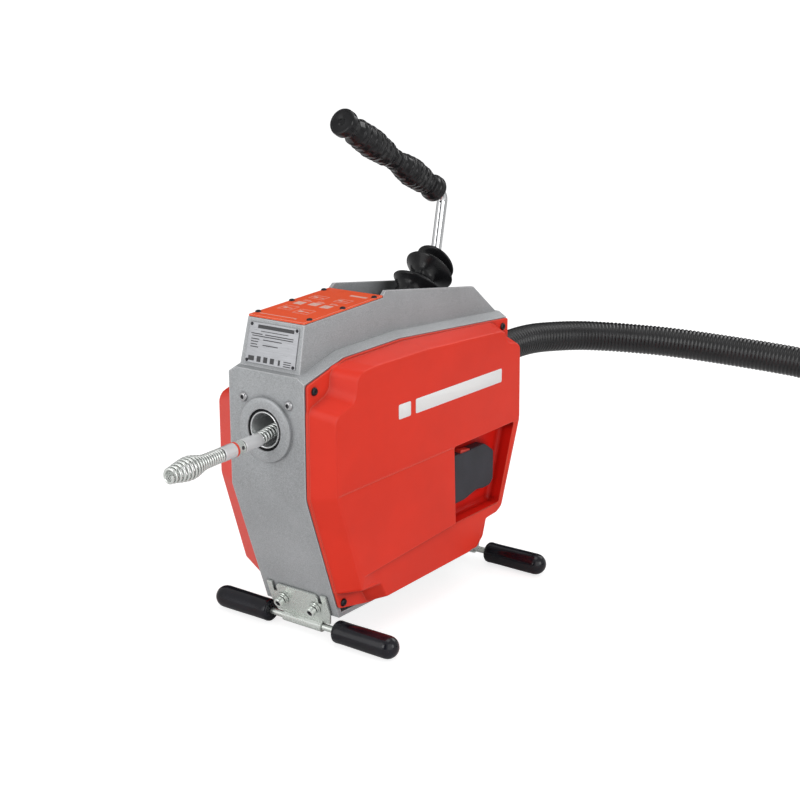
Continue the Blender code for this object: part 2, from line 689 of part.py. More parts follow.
def main_build():
    for old in list(bpy.data.objects):
        bpy.data.objects.remove(old)
    bpy.context.scene.collection.children.link(main)
    bpy.context.scene.collection.children.link(cutters)
    grey = material("grey_casting", (0.40, 0.40, 0.41), 0.5, 0.3)
    red = material("red_cover", (0.78, 0.06, 0.035), 0.35)
    orange = material("orange_plate", (0.85, 0.09, 0.03), 0.4)
    silver = material("rating_foil", (0.7, 0.71, 0.73), 0.35, 0.8)
    black = material("black_rubber", (0.015, 0.015, 0.017), 0.5)
    vinyl = material("black_vinyl", (0.012, 0.012, 0.015), 0.2)
    dark = material("dark_plastic", (0.06, 0.06, 0.07), 0.5)
    chrome = material("chrome", (0.8, 0.8, 0.82), 0.12, 1.0)
    zinc = material("zinc_plate", (0.62, 0.66, 0.62), 0.3, 0.9)
    steel = material("steel", (0.5, 0.5, 0.52), 0.3, 1.0)
    cast = material("cast_parts", (0.25, 0.25, 0.26), 0.6, 0.6)
    bronze = material("bronze", (0.5, 0.32, 0.12), 0.4, 1.0)
    rocker_red = material("rocker_red", (0.8, 0.05, 0.03), 0.3)

    housing = make_housing(grey)
    right = make_cover("cover_right", 1, RIGHT_FACE_X, red)
    left = make_cover("cover_left", -1, LEFT_FACE_X, red)
    make_pocket(right)
    for hand, side, cover in (("right", 1, right), ("left", -1, left)):
        for number, (y, z) in enumerate(COVER_SCREWS, 1):
            head = (side * (COVER_X0 + FLANGE_THICK), y, z)
            screw_holes("cover_hole", (cover,), head, (side, 0, 0), 2.2, 3.5)
            if side > 0:  # the left cover keeps its holes; its screws are too small to matter
                fasten(f"cover_screw_{number}", head, (side, 0, 0), black, length=2.6, sides=10)
    make_plates(housing, orange, silver, dark)
    flange = make_drive(steel, cast, black)
    for number, x in ((1, -34 * MM), (2, 34 * MM)):
        head = (x, FRONT_Y, 303.3 * MM)
        fasten(
            f"front_screw_{number}", head, (0, -1, 0), zinc, (housing, flange), head_r=4.8, head_h=2.6,
            shank_r=2.4, length=11,
        )
    make_clamp(steel)
    make_lever(chrome, black, steel, bronze)
    make_spiral(steel, zinc)
    finishes = (steel, zinc, vinyl)
    front_wall = ((FRONT_SILL_Y, BOTTOM_Z), (FRONT_Y, BEND_Z))
    rear_wall = ((REAR_SILL_Y, BOTTOM_Z), (REAR_Y, 206 * MM))
    make_foot("front_foot", -1, FRONT_FOOT_Y, front_wall, finishes, housing)
    make_foot("rear_foot", 1, REAR_FOOT_Y, rear_wall, finishes, housing)
    make_switch(dark, rocker_red)
    turned(
        "hose_nozzle",
        mm_points(
            [(21, 318), (21, 263), (33, 263), (33, 257.3), (22.4, 257.3), (22.4, 206), (17, 206), (17, 318)]
        ),
        black,
    )
    turned(
        "cable_gland",
        mm_points([(0, 22), (6, 22), (8, 12), (11, 12), (11, GAP / MM), (0, GAP / MM)]),
        black, origin=(-30 * MM, REAR_Y, 232 * MM), closed=False, sides=SMALL_ROUND,
    )
    make_hose(black)


main_build()
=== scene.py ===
"""Looks of the drain snake machine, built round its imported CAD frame.

All lengths are in metres and in the frame's own axes: +Z up, the spindle's mouth towards -Y, the side with
the switch pocket towards +X. Points written in millimetres go through mm().
"""

import math

import bmesh
import bpy
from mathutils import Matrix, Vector
from mathutils.geometry import delaunay_2d_cdt


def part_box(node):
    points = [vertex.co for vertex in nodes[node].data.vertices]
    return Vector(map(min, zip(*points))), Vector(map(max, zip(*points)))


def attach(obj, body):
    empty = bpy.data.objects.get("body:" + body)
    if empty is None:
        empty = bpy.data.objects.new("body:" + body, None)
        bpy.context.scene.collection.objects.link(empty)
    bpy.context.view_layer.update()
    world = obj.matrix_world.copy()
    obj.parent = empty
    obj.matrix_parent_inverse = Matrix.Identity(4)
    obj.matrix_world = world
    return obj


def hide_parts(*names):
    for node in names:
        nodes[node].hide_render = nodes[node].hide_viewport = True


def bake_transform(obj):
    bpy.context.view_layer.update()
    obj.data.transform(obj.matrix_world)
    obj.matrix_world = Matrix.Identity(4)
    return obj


MM = 0.001
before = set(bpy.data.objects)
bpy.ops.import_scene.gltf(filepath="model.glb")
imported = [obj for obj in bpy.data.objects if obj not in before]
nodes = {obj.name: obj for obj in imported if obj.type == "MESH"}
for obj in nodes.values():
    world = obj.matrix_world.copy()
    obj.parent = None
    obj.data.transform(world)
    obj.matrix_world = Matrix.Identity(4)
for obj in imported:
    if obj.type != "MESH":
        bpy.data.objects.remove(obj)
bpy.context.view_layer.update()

# Driving dimensions, the same as the CAD's
AXIS_Z = 270 * MM
FRONT_Y = -154.5 * MM
HOSE_R = 21 * MM
HOSE_PITCH = 5.6 * MM
NOZZLE_END_Y = 318 * MM
PIVOT = Vector((0, 98 * MM, 362 * MM))
ROD_R = 6.5 * MM
GRIP_START = Vector((0, 175 * MM, 508.3 * MM))
GRIP_END = Vector((0, -14 * MM, 606.5 * MM))
SPIRAL_R = 8 * MM
FOOT_Y = {"front": -95.4 * MM, "rear": 231.4 * MM}
FOOT_Z = 14 * MM
GRIP_IN = 51 * MM


# ---------------------------------------------------------------- small helpers


def mm(points):
    return [tuple(c * MM for c in p) for p in points]


def lerp(a, b, t):
    return a + (b - a) * t


def smoothstep(low, high, value):
    t = min(1.0, max(0.0, (value - low) / (high - low)))
    return t * t * (3 - 2 * t)


def link(name, mesh, finish, body, replaces=()):
    """Puts a mesh in the scene as a piece that rides on a CAD body."""
    made = bpy.data.objects.new(name, mesh)
    bpy.context.scene.collection.objects.link(made)
    mesh.materials.append(finish)
    if body:
        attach(made, body)
    if replaces:
        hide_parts(*replaces)
    return made


def mesh_from(name, build, smooth=True):
    """Runs build(bm) on an empty bmesh and returns the mesh, with its normals outwards."""
    bm = bmesh.new()
    build(bm)
    bmesh.ops.remove_doubles(bm, verts=bm.verts, dist=1e-6)
    bmesh.ops.recalc_face_normals(bm, faces=bm.faces)
    for face in bm.faces:
        face.smooth = smooth
    mesh = bpy.data.meshes.new(name)
    bm.to_mesh(mesh)
    bm.free()
    return mesh


def skin(bm, loops, cap_start=True, cap_end=True, closed=True):
    """Skins loops of equal count into bm. closed joins each loop's last point to its first."""
    rings = [[bm.verts.new(p) for p in loop] for loop in loops]
    count = len(rings[0])
    for a, b in zip(rings, rings[1:]):
        for i in range(count if closed else count - 1):
            j = (i + 1) % count
            bm.faces.new((a[i], a[j], b[j], b[i]))
    if cap_start:
        bm.faces.new(rings[0])
    if cap_end:
        bm.faces.new(rings[-1])
    return rings


def sharpen(mesh, degrees=32):
    """Marks edges sharper than the angle, so that smooth shading keeps them crisp."""
    mesh.set_sharp_from_angle(angle=math.radians(degrees))
    return mesh


def frames_along(path):
    """A pair of side vectors at each point of a path, carried along without twist."""
    points = [Vector(p) for p in path]
    tangents = []
    for i in range(len(points)):
        before = points[max(0, i - 1)]
        after = points[min(len(points) - 1, i + 1)]
        tangents.append((after - before).normalized())
    guess = Vector((0, 0, 1)) if abs(tangents[0].z) < 0.9 else Vector((1, 0, 0))
    side = tangents[0].cross(guess).normalized()
    out = []
    for i, tangent in enumerate(tangents):
        if i:
            side = (tangents[i - 1].rotation_difference(tangent) @ side).normalized()
            side = (side - tangent * side.dot(tangent)).normalized()
        out.append((side, tangent.cross(side)))
    return out


def sweep(bm, path, radius, sides=16):
    """A tube along the path. radius is a number or a function of the point's number."""
    loops = []
    for i, (point, (a, b)) in enumerate(zip(path, frames_along(path))):
        r = radius(i) if callable(radius) else radius
        loops.append(
            [
                Vector(point) + (a * math.cos(t) + b * math.sin(t)) * r
                for t in (k * math.tau / sides for k in range(sides))
            ]
        )
    skin(bm, loops)


def lathe(bm, profile, origin, axis, sides=48):
    """Turns (radius, height) points about an axis. A zero radius closes the end in a point."""
    origin = Vector(origin)
    axis = Vector(axis).normalized()
    guess = Vector((0, 0, 1)) if abs(axis.z) < 0.9 else Vector((1, 0, 0))
    a = axis.cross(guess).normalized()
    b = axis.cross(a)
    rings = []
    for r, h in profile:
        centre = origin + axis * h
        if r < 1e-7:
            rings.append([bm.verts.new(centre)])
        else:
            turns = (k * math.tau / sides for k in range(sides))
            rings.append([bm.verts.new(centre + (a * math.cos(t) + b * math.sin(t)) * r) for t in turns])
    for low, high in zip(rings, rings[1:]):
        for i in range(sides):
            j = (i + 1) % sides
            if len(low) == 1 and len(high) == 1:
                continue
            if len(low) == 1:
                bm.faces.new((low[0], high[j], high[i]))
            elif len(high) == 1:
                bm.faces.new((low[i], low[j], high[0]))
            else:
                bm.faces.new((low[i], low[j], high[j], high[i]))


def lathed(name, profile, finish, body, origin, axis, sides=48, replaces=(), sharp=32):
    mesh = mesh_from(name, lambda bm: lathe(bm, profile, origin, axis, sides))
    return link(name, sharpen(mesh, sharp), finish, body, replaces)


def swept(name, path, radius, finish, body, sides=16, replaces=()):
    mesh = mesh_from(name, lambda bm: sweep(bm, path, radius, sides))
    return link(name, sharpen(mesh, 50), finish, body, replaces)


def rounded(outline, reach, steps=5):
    """Rounds every corner of a closed outline with a curve that starts `reach` before the corner."""
    count = len(outline)
    out = []
    for i in range(count):
        corner = Vector(outline[i])
        before = Vector(outline[i - 1])
        after = Vector(outline[(i + 1) % count])
        back = min(reach, (before - corner).length * 0.46)
        on = min(reach, (after - corner).length * 0.46)
        start = corner + (before - corner).normalized() * back
        end = corner + (after - corner).normalized() * on
        for k in range(steps + 1):
            t = k / steps
            out.append(start * (1 - t) ** 2 + corner * (2 * t * (1 - t)) + end * t**2)
    return out


def inset(outline, distance):
    """Moves each side of a closed 2-D outline inwards."""
    count = len(outline)
    area = sum(Vector(outline[i]).cross(Vector(outline[(i + 1) % count])) for i in range(count))
    turn = distance if area > 0 else -distance
    moved = []
    for i in range(count):
        here = Vector(outline[i])
        before = (here - Vector(outline[i - 1])).normalized()
        after = (Vector(outline[(i + 1) % count]) - here).normalized()
        inward = Vector((-before.y, before.x)) + Vector((-after.y, after.x))
        moved.append(here + inward * (turn / (1 + before.dot(after))))
    return moved


def inside(point, outline):
    x, y = point
    found = False
    for i in range(len(outline)):
        x0, y0 = outline[i - 1]
        x1, y1 = outline[i]
        if (y0 > y) != (y1 > y) and x < x0 + (y - y0) * (x1 - x0) / (y1 - y0):
            found = not found
    return found


def smooth_line(points, spacing):
    """A smooth curve through the points (Catmull-Rom), read off at an even spacing."""
    ends = [2 * Vector(points[0]) - Vector(points[1]), 2 * Vector(points[-1]) - Vector(points[-2])]
    knots = [ends[0], *map(Vector, points), ends[1]]
    fine = []
    for a, b, c, d in zip(knots, knots[1:], knots[2:], knots[3:]):
        for k in range(24):
            t = k / 24
            linear = 2 * b + (c - a) * t
            fine.append((linear + (2 * a - 5 * b + 4 * c - d) * t**2 + (3 * b - a - 3 * c + d) * t**3) / 2)
    fine.append(knots[-2])
    length = sum((b - a).length for a, b in zip(fine, fine[1:]))
    count = round(length / spacing)
    even = [fine[0]]
    run = 0.0
    for a, b in zip(fine, fine[1:]):
        step = (b - a).length
        while run + step >= len(even) * length / count and len(even) < count:
            even.append(a.lerp(b, (len(even) * length / count - run) / step))
        run += step
    even.append(fine[-1])
    return even


# ---------------------------------------------------------------- materials


class Paint:
    """A Principled material with a few short ways to add nodes to it."""

    def __init__(self, name, colour, roughness, metallic=0.0, **fixed):
        self.material = bpy.data.materials.new(name)
        self.material.use_nodes = True
        self.tree = self.material.node_tree
        self.shader = self.tree.nodes["Principled BSDF"]
        self.colour = colour
        self.set("Base Color", (*colour, 1.0))
        self.set("Roughness", roughness)
        self.set("Metallic", metallic)
        for socket, value in fixed.items():
            self.set(socket.replace("_", " "), value)
        self.place = self.tree.nodes.new("ShaderNodeTexCoord").outputs["Object"]

    def set(self, socket, value):
        self.shader.inputs[socket].default_value = value

    def join(self, output, socket):
        self.tree.links.new(output, self.shader.inputs[socket])

    def node(self, kind, inputs=(), **settings):
        made = self.tree.nodes.new("ShaderNode" + kind)
        for key, value in settings.items():
            setattr(made, key, value)
        for key, value in dict(inputs).items():
            if isinstance(value, bpy.types.NodeSocket):
                self.tree.links.new(value, made.inputs[key])
            else:
                made.inputs[key].default_value = value
        return made

    def stretch(self, scale):
        return self.node("Mapping", {"Vector": self.place, "Scale": scale}).outputs["Vector"]

    def noise(self, scale, detail=3.0, rough=0.5, where=None):
        inputs = {"Vector": where or self.place, "Scale": scale, "Detail": detail, "Roughness": rough}
        return self.node("TexNoise", inputs).outputs["Fac"]

    def spread(self, value, low, high, out_low, out_high):
        inputs = {"Value": value, "From Min": low, "From Max": high, "To Min": out_low, "To Max": out_high}
        return self.node("MapRange", inputs).outputs["Result"]

    def tint(self, value, dark, light, low=0.3, high=0.7):
        """Colours the surface between dark and light shares of its own colour."""
        ramp = self.node("ValToRGB", {"Fac": value})
        ramp.color_ramp.elements[0].position = low
        ramp.color_ramp.elements[1].position = high
        for element, share in zip(ramp.color_ramp.elements, (dark, light)):
            element.color = (*[min(1.0, c * share) for c in self.colour], 1.0)
        return ramp.outputs["Color"]

    def mix(self, factor, a, b):
        made = self.tree.nodes.new("ShaderNodeMix")
        made.data_type = "RGBA"
        for socket, value in ((made.inputs[0], factor), (made.inputs[6], a), (made.inputs[7], b)):
            if isinstance(value, bpy.types.NodeSocket):
                self.tree.links.new(value, socket)
            else:
                socket.default_value = value
        return made.outputs[2]

    def add(self, a, b):
        return self.node("Math", {0: a, 1: b}, operation="ADD").outputs[0]

    def times(self, a, b):
        return self.node("Math", {0: a, 1: b}, operation="MULTIPLY").outputs[0]

    def painted_edge_highlight(self, width):
        """1 along edges and 0 on flat faces: the mask of painted edge highlights."""
        bevel = self.node("Bevel", {"Radius": width}, samples=4).outputs["Normal"]
        normal = self.node("NewGeometry").outputs["Normal"]
        dot = self.node("VectorMath", {0: bevel, 1: normal}, operation="DOT_PRODUCT").outputs["Value"]
        return self.spread(dot, 0.992, 0.90, 0.0, 1.0)

    def crowded(self, reach, dark, light):
        """1 where things within reach cover much of the open side, and 0 in the open: the mask of painted
        shade.
        """
        seen = self.node("AmbientOcclusion", {"Distance": reach}, samples=6).outputs["AO"]
        return self.spread(seen, dark, light, 1.0, 0.0)

    def bump(self, height, distance, strength):
        inputs = {"Height": height, "Distance": distance, "Strength": strength}
        return self.node("Bump", inputs).outputs["Normal"]

    def grained(self, grain, smooth, rough, depth, strength):
        """One grain drives both the roughness, from smooth to rough, and a bump."""
        self.join(self.spread(grain, 0.3, 0.7, smooth, rough), "Roughness")
        self.join(self.bump(grain, depth, strength), "Normal")


def grey_coat():
    p = Paint("grey_coat", (0.415, 0.428, 0.440), 0.45, 0.2, Specular_IOR_Level=0.35)
    grain = p.noise(1150, 2.0, 0.6)
    cloud = p.noise(14, 3.0, 0.5)
    speck = p.tint(p.add(p.times(grain, 0.8), p.times(cloud, 0.2)), 0.72, 1.26, 0.36, 0.64)
    # Painted light: edges turn pale grey, a painted highlight, and crowded places turn near-black, painted
    # shade.
    with_edge_highlight = p.mix(p.times(p.painted_edge_highlight(2.4 * MM), 0.6), speck, (0.80, 0.81, 0.82, 1.0))
    p.join(p.mix(p.times(p.crowded(40 * MM, 0.35, 0.9), 0.7), with_edge_highlight, (0.07, 0.07, 0.075, 1.0)), "Base Color")
    p.grained(grain, 0.36, 0.52, 0.00016, 0.55)
    return p.material


def red_moulding(name, colour, gloss, edge):
    p = Paint(name, colour, 0.38, 0.0, Specular_IOR_Level=gloss)
    grain = p.noise(1500, 2.0, 0.6)
    cloud = p.noise(9, 3.0, 0.55)
    # Painted light: edges turn pale red, a painted highlight (edge sets how much), and crowded places such as
    # the pocket, notches and step turn dark red, painted shade.
    with_edge_highlight = p.mix(
        p.times(p.painted_edge_highlight(1.8 * MM), edge), p.tint(cloud, 0.93, 1.06, 0.3, 0.7), (0.95, 0.20, 0.14, 1.0)
    )
    p.join(
        p.mix(p.times(p.crowded(12 * MM, 0.55, 0.96), 0.85), with_edge_highlight, (0.16, 0.003, 0.002, 1.0)), "Base Color"
    )
    p.grained(grain, 0.35, 0.45, 0.00006, 0.5)
    return p.material


def orange_print():
    p = Paint("orange_print", (1.0, 0.112, 0.034), 0.42, 0.0, Specular_IOR_Level=0.25)
    grain = p.noise(900, 3.0, 0.6)
    # Painted light: the plate's edges turn pale, a painted highlight.
    p.join(
        p.mix(p.painted_edge_highlight(0.8 * MM), p.tint(p.noise(22, 3.0), 0.92, 1.08), (1.0, 0.55, 0.45, 1.0)), "Base Color"
    )
    p.grained(grain, 0.32, 0.45, 0.00004, 0.4)
    return p.material


def brushed_foil():
    p = Paint("brushed_foil", (0.44, 0.447, 0.468), 0.34, 0.75)
    strokes = p.noise(60, 4.0, 0.6, p.stretch((1, 40, 40)))
    p.join(p.tint(strokes, 0.80, 1.14, 0.3, 0.7), "Base Color")
    p.grained(strokes, 0.26, 0.44, 0.00003, 0.4)
    return p.material


def ink(name, colour, dark=0.8):
    p = Paint(name, colour, 0.5)
    p.join(p.tint(p.noise(700, 3.0, 0.7), dark, 1.05, 0.3, 0.7), "Base Color")
    p.join(p.spread(p.noise(300), 0.3, 0.7, 0.42, 0.58), "Roughness")
    return p.material


def black_rubber(name, roughness, scale=900.0, gloss=0.3):
    p = Paint(name, (0.010, 0.010, 0.011), roughness, 0.0, Specular_IOR_Level=gloss)
    grain = p.noise(scale, 4.0, 0.6)
    dust = p.noise(35, 4.0, 0.6)
    p.join(p.tint(dust, 0.75, 1.5, 0.3, 0.75), "Base Color")
    p.grained(grain, roughness - 0.07, roughness + 0.09, 0.00008, 0.45)
    return p.material


def dipped_vinyl():
    p = Paint("dipped_vinyl", (0.007, 0.007, 0.011), 0.16, 0.0, Specular_IOR_Level=0.4)
    orange_peel = p.noise(260, 2.0, 0.5)
    p.join(p.tint(p.noise(40, 3.0), 0.7, 1.5), "Base Color")
    p.grained(orange_peel, 0.13, 0.2, 0.00005, 0.25)
    return p.material


def dark_plastic():
    p = Paint("dark_plastic", (0.034, 0.035, 0.044), 0.5, 0.0, Specular_IOR_Level=0.35)
    grain = p.noise(1300, 3.0, 0.6)
    p.join(p.tint(p.noise(30, 3.0), 0.85, 1.2), "Base Color")
    p.grained(grain, 0.42, 0.56, 0.00008, 0.5)
    return p.material


def metal(name, colour, roughness, grain_scale, stretch=(1, 1, 1), depth=0.00004, dark=0.75, light=1.15,
          bare=1.0, painted_shade_reach=0.0):
    """Bare or plated metal.

    stretch draws its grain out across the axes with large numbers. bare is its metallic share, and the last
    argument is the reach over which crowded places in it turn dark, as painted shade.
    """
    p = Paint(name, colour, roughness, bare)
    where = p.stretch(stretch)
    grain = p.noise(grain_scale, 4.0, 0.6, where)
    stain = p.noise(26, 3.0, 0.6)
    blend = p.add(p.times(grain, 0.6), p.times(stain, 0.4))
    shade = p.tint(blend, dark, light, 0.36, 0.64)
    if painted_shade_reach:
        # painted shade: crowded places turn near-black
        shade = p.mix(p.crowded(painted_shade_reach, 0.2, 0.75), shade, (0.07, 0.075, 0.07, 1.0))
    p.join(shade, "Base Color")
    p.join(p.spread(blend, 0.35, 0.65, roughness * 0.85, roughness * 1.2), "Roughness")
    p.join(p.bump(grain, depth, 0.4), "Normal")
    return p.material


GREY = grey_coat()
RED = red_moulding("red_moulding", (0.84, 0.036, 0.014), 0.28, 0.4)
# The switch pocket's darker copy of the red is painted shade in the recess, with almost no painted edge
# highlight.
SHADED_POCKET_RED = red_moulding("pocket_red_painted_shade", (0.74, 0.014, 0.008), 0.12, 0.02)
ORANGE = orange_print()
FOIL = brushed_foil()
WHITE_INK = ink("white_ink", (0.97, 0.96, 0.95), 0.95)
PALE_INK = ink("pale_ink", (0.86, 0.52, 0.44))
BLACK_INK = ink("black_ink", (0.05, 0.05, 0.055))
RUBBER = black_rubber("black_rubber", 0.42)
HOSE = black_rubber("hose_rubber", 0.26, 1400.0, 0.55)
BELT = black_rubber("belt_rubber", 0.62)
SEAL_RUBBER = black_rubber("seal_rubber", 0.6, 900.0, 0.08)
GRIP_RUBBER = black_rubber("grip_rubber", 0.19, 500.0, 0.28)
BOOT_RUBBER = black_rubber("boot_rubber", 0.20, 500.0)
VINYL = dipped_vinyl()
PLASTIC = dark_plastic()
CHROME = metal("chrome", (0.84, 0.85, 0.86), 0.08, 500, (1, 1, 6), 0.000002, 0.96, 1.03)
# Zinc plate and tool wire carry painted shade in crowded places: slots, bolt seats and the inside of the
# coil.
ZINC = metal("zinc_plate", (0.80, 0.84, 0.80), 0.28, 500, (1, 1, 1), 0.000004, 0.95, 1.03, 0.75, 7 * MM)
STEEL = metal("bare_steel", (0.56, 0.56, 0.57), 0.28, 300, (1, 30, 1))
WIRE = metal("drawn_wire", (0.80, 0.83, 0.81), 0.22, 300, depth=0.000004, dark=0.93, light=1.04, bare=0.8)
TOOL_WIRE = metal("tool_wire", (0.84, 0.87, 0.84), 0.20, 300, (1, 1, 1), 0.000003, 0.95, 1.03, 0.8, 10 * MM)
BRIGHT = metal("turned_steel", (0.90, 0.90, 0.91), 0.22, 400, (1, 6, 1), 0.0000006, 0.97, 1.02, 0.5)
CAST = metal("cast_iron", (0.18, 0.18, 0.19), 0.55, 700, depth=0.0002)
BRONZE = metal("sintered_bronze", (0.45, 0.26, 0.09), 0.45, 1200, depth=0.0001)
DARK_STEEL = metal("blackened_steel", (0.045, 0.045, 0.05), 0.36, 900)
BORE = metal("honed_bore", (0.78, 0.79, 0.80), 0.22, 400, (1, 1, 1), 0.000002, 0.92, 1.04, 0.72)
RING_RED = ink("ring_red", (0.85, 0.07, 0.03))


# ---------------------------------------------------------------- camera and light


# azimuth in degrees, width, distance and brightness of the cards that polished metal reflects
CARDS = ((-76, 0.5, 1.4, 0.0), (127, 2.4, 1.6, 0.0), (-115, 0.7, 1.5, 1.3), (-30, 1.2, 1.5, 1.3))


def make_camera():
    data = bpy.data.cameras.new("camera")
    data.lens = 66.97
    data.sensor_width = 36.0
    data.clip_start = 0.05
    data.clip_end = 50.0
    camera = bpy.data.objects.new("camera", data)
    camera.location = (1.0932, -1.3655, 0.7491)
    camera.rotation_mode = "QUATERNION"
    camera.rotation_quaternion = Vector((-0.577, 0.773, -0.264)).to_track_quat("-Z", "Y")
    bpy.context.scene.collection.objects.link(camera)
    bpy.context.scene.camera = camera


def area_light(name, place, target, size, power, colour=(1, 1, 1)):
    data = bpy.data.lights.new(name, "AREA")
    data.shape = "RECTANGLE"
    data.size, data.size_y = size
    data.energy = power
    data.color = colour
    made = bpy.data.objects.new(name, data)
    made.location = place
    made.rotation_mode = "QUATERNION"
    made.rotation_quaternion = (Vector(target) - Vector(place)).to_track_quat("-Z", "Y")
    bpy.context.scene.collection.objects.link(made)


def make_studio():
    scene = bpy.context.scene
    scene.view_settings.view_transform = "Standard"
    scene.view_settings.look = "None"
    world = bpy.data.worlds.new("studio")
    world.use_nodes = True
    background = world.node_tree.nodes["Background"]
    background.inputs["Color"].default_value = (1.0, 1.0, 1.0, 1.0)
    background.inputs["Strength"].default_value = 0.55
    scene.world = world
    area_light("key", (-0.9, -2.9, 1.3), (0, 0, 0.25), (1.6, 1.4), 26)
    area_light("side_fill", (2.9, -0.2, 1.2), (0, 0.1, 0.25), (1.6, 1.4), 20)
    area_light("back_rim", (0.4, 2.6, 1.9), (0, 0.1, 0.3), (2.0, 1.2), 16)
    area_light("overhead", (0.1, 0.1, 2.6), (0.05, 0.1, 0.3), (1.4, 1.4), 8)
    # the camera sees one floor, light and reflections meet another, which is darker
    paper(name="floor", level=-0.5 * MM, albedo=0.45, glow=0.78, seen_by="camera")
    paper(name="floor_bounce", level=-1.0 * MM, albedo=0.72, glow=0.0, seen_by="light")
    backdrop()
    for azimuth, width, distance, glow in CARDS:
        card(azimuth, width, distance, glow)


def seen_only_by(obj, rays):
    """rays is camera, reflections or light, which is reflections and diffuse light."""
    obj.visible_camera = rays == "camera"
    obj.visible_glossy = rays != "camera"
    obj.visible_diffuse = rays == "light"
    obj.visible_transmission = False
    obj.visible_volume_scatter = False
    obj.visible_shadow = False


def paper(name, level, albedo, glow, seen_by):
    p = Paint(name, (albedo, albedo, albedo), 0.9, Emission_Color=(1, 1, 1, 1), Emission_Strength=glow)
    p.join(p.tint(p.noise(3, 2.0), 0.99, 1.01), "Base Color")
    half = 30
    rows = [[(x, y, level) for x in (-half, half)] for y in (-half, half)]
    mesh = mesh_from(name, lambda bm: skin(bm, rows, False, False, False))
    seen_only_by(link(name, mesh, p.material, None), seen_by)


def backdrop():
    """A white wall far behind the floor's edge."""
    p = Paint("backdrop_paper", (0.2, 0.2, 0.2), 0.9, Emission_Color=(1, 1, 1, 1), Emission_Strength=1.0)
    p.join(p.tint(p.noise(0.2, 2.0), 0.99, 1.01), "Base Color")
    profile = [(29, -0.2), (29, 20), (20, 28), (0, 30)]
    mesh = mesh_from("backdrop", lambda bm: lathe(bm, profile, (0, 0, 0), (0, 0, 1), 48))
    seen_only_by(link("backdrop", mesh, p.material, None), "camera")


def card(azimuth, width, distance, glow):
    p = Paint(f"card_{azimuth}", (0.02, 0.02, 0.02), 0.9, Emission_Color=(1, 1, 1, 1), Emission_Strength=glow)
    p.join(p.tint(p.noise(4, 2.0), 0.9, 1.1), "Base Color")
    a = math.radians(azimuth)
    centre = Vector((math.cos(a), math.sin(a), 0)) * distance
    side = Vector((-math.sin(a), math.cos(a), 0)) * width / 2
    rows = [[centre - side + Vector((0, 0, z)), centre + side + Vector((0, 0, z))] for z in (0.0, 1.6)]
    mesh = mesh_from("card", lambda bm: skin(bm, rows, False, False, False))
    seen_only_by(link(f"card_{azimuth}", mesh, p.material, None), "reflections")


# ---------------------------------------------------------------- the guide hose


def hose_route():
    """The route's points are the CAD's."""
    free = mm(
        [(0, 326, 270), (0.5, 352, 272.5), (4, 391, 274), (15, 427, 273), (37, 469, 270.5),
         (64, 500, 267.5), (100, 526, 264.5), (142, 548, 261.6), (190, 566, 258), (240, 579, 254.5),
         (292, 590, 251), (345, 598, 246), (400, 603, 233), (463, 605, 210), (526, 605, 181),
         (588, 604, 150)]
    )
    centre = (645 * MM, 421 * MM)
    radius = 181 * MM
    shrink_a_turn = 8 * MM
    top_z = 120 * MM
    drop = 112  # degrees of the loop over which the hose comes down to the floor
    on_floor = 268
    rest = HOSE_R + 0.3 * MM
    turns = []
    for degrees in range(0, drop + on_floor + 1, 10):
        a = math.radians(90 - degrees)
        r = radius - shrink_a_turn * degrees / 360
        z = rest + (top_z - rest) * (1 - min(1.0, degrees / drop)) ** 2
        turns.append((centre[0] + r * math.cos(a), centre[1] + r * math.sin(a), z))
    return [(0, NOZZLE_END_Y + 0.3 * MM, AXIS_Z), *smooth_line([*free, *turns], 40 * MM)]


def make_hose():
    route = hose_route()
    per_rib = 6
    fine = smooth_line(route, HOSE_PITCH / per_rib)
    # a rounded crest, a narrow groove: the crests catch the light one by one
    shares = (0.0, 0.75, 1.0, 1.0, 0.75, 0.0)
    depth = 1.2 * MM

    def radius(i):
        return HOSE_R + 0.2 * MM - depth * (1 - shares[i % per_rib])

    mesh = mesh_from("guide_hose_skin", lambda bm: sweep(bm, fine, radius, 40))
    hose = link("guide_hose_skin", mesh, HOSE, "machine", ["guide_hose"])
    end = fine[-1]
    along = (fine[-1] - fine[-2]).normalized()
    profile = mm([(16, -2), (16, 44), (17, 45), (20, 45), (21, 44), (21, 40), (20.3, 39), (20.3, 8),
                  (21, 7), (21, 2), (20.4, 0.9), (16, 0.9)])
    cuff = lathed(
        "hose_end_sleeve", profile, RUBBER, "machine", end, along, 48, ["hose_end_cuff"]
    )


make_camera()
make_studio()
make_hose()

# ---------------------------------------------------------------- the covers

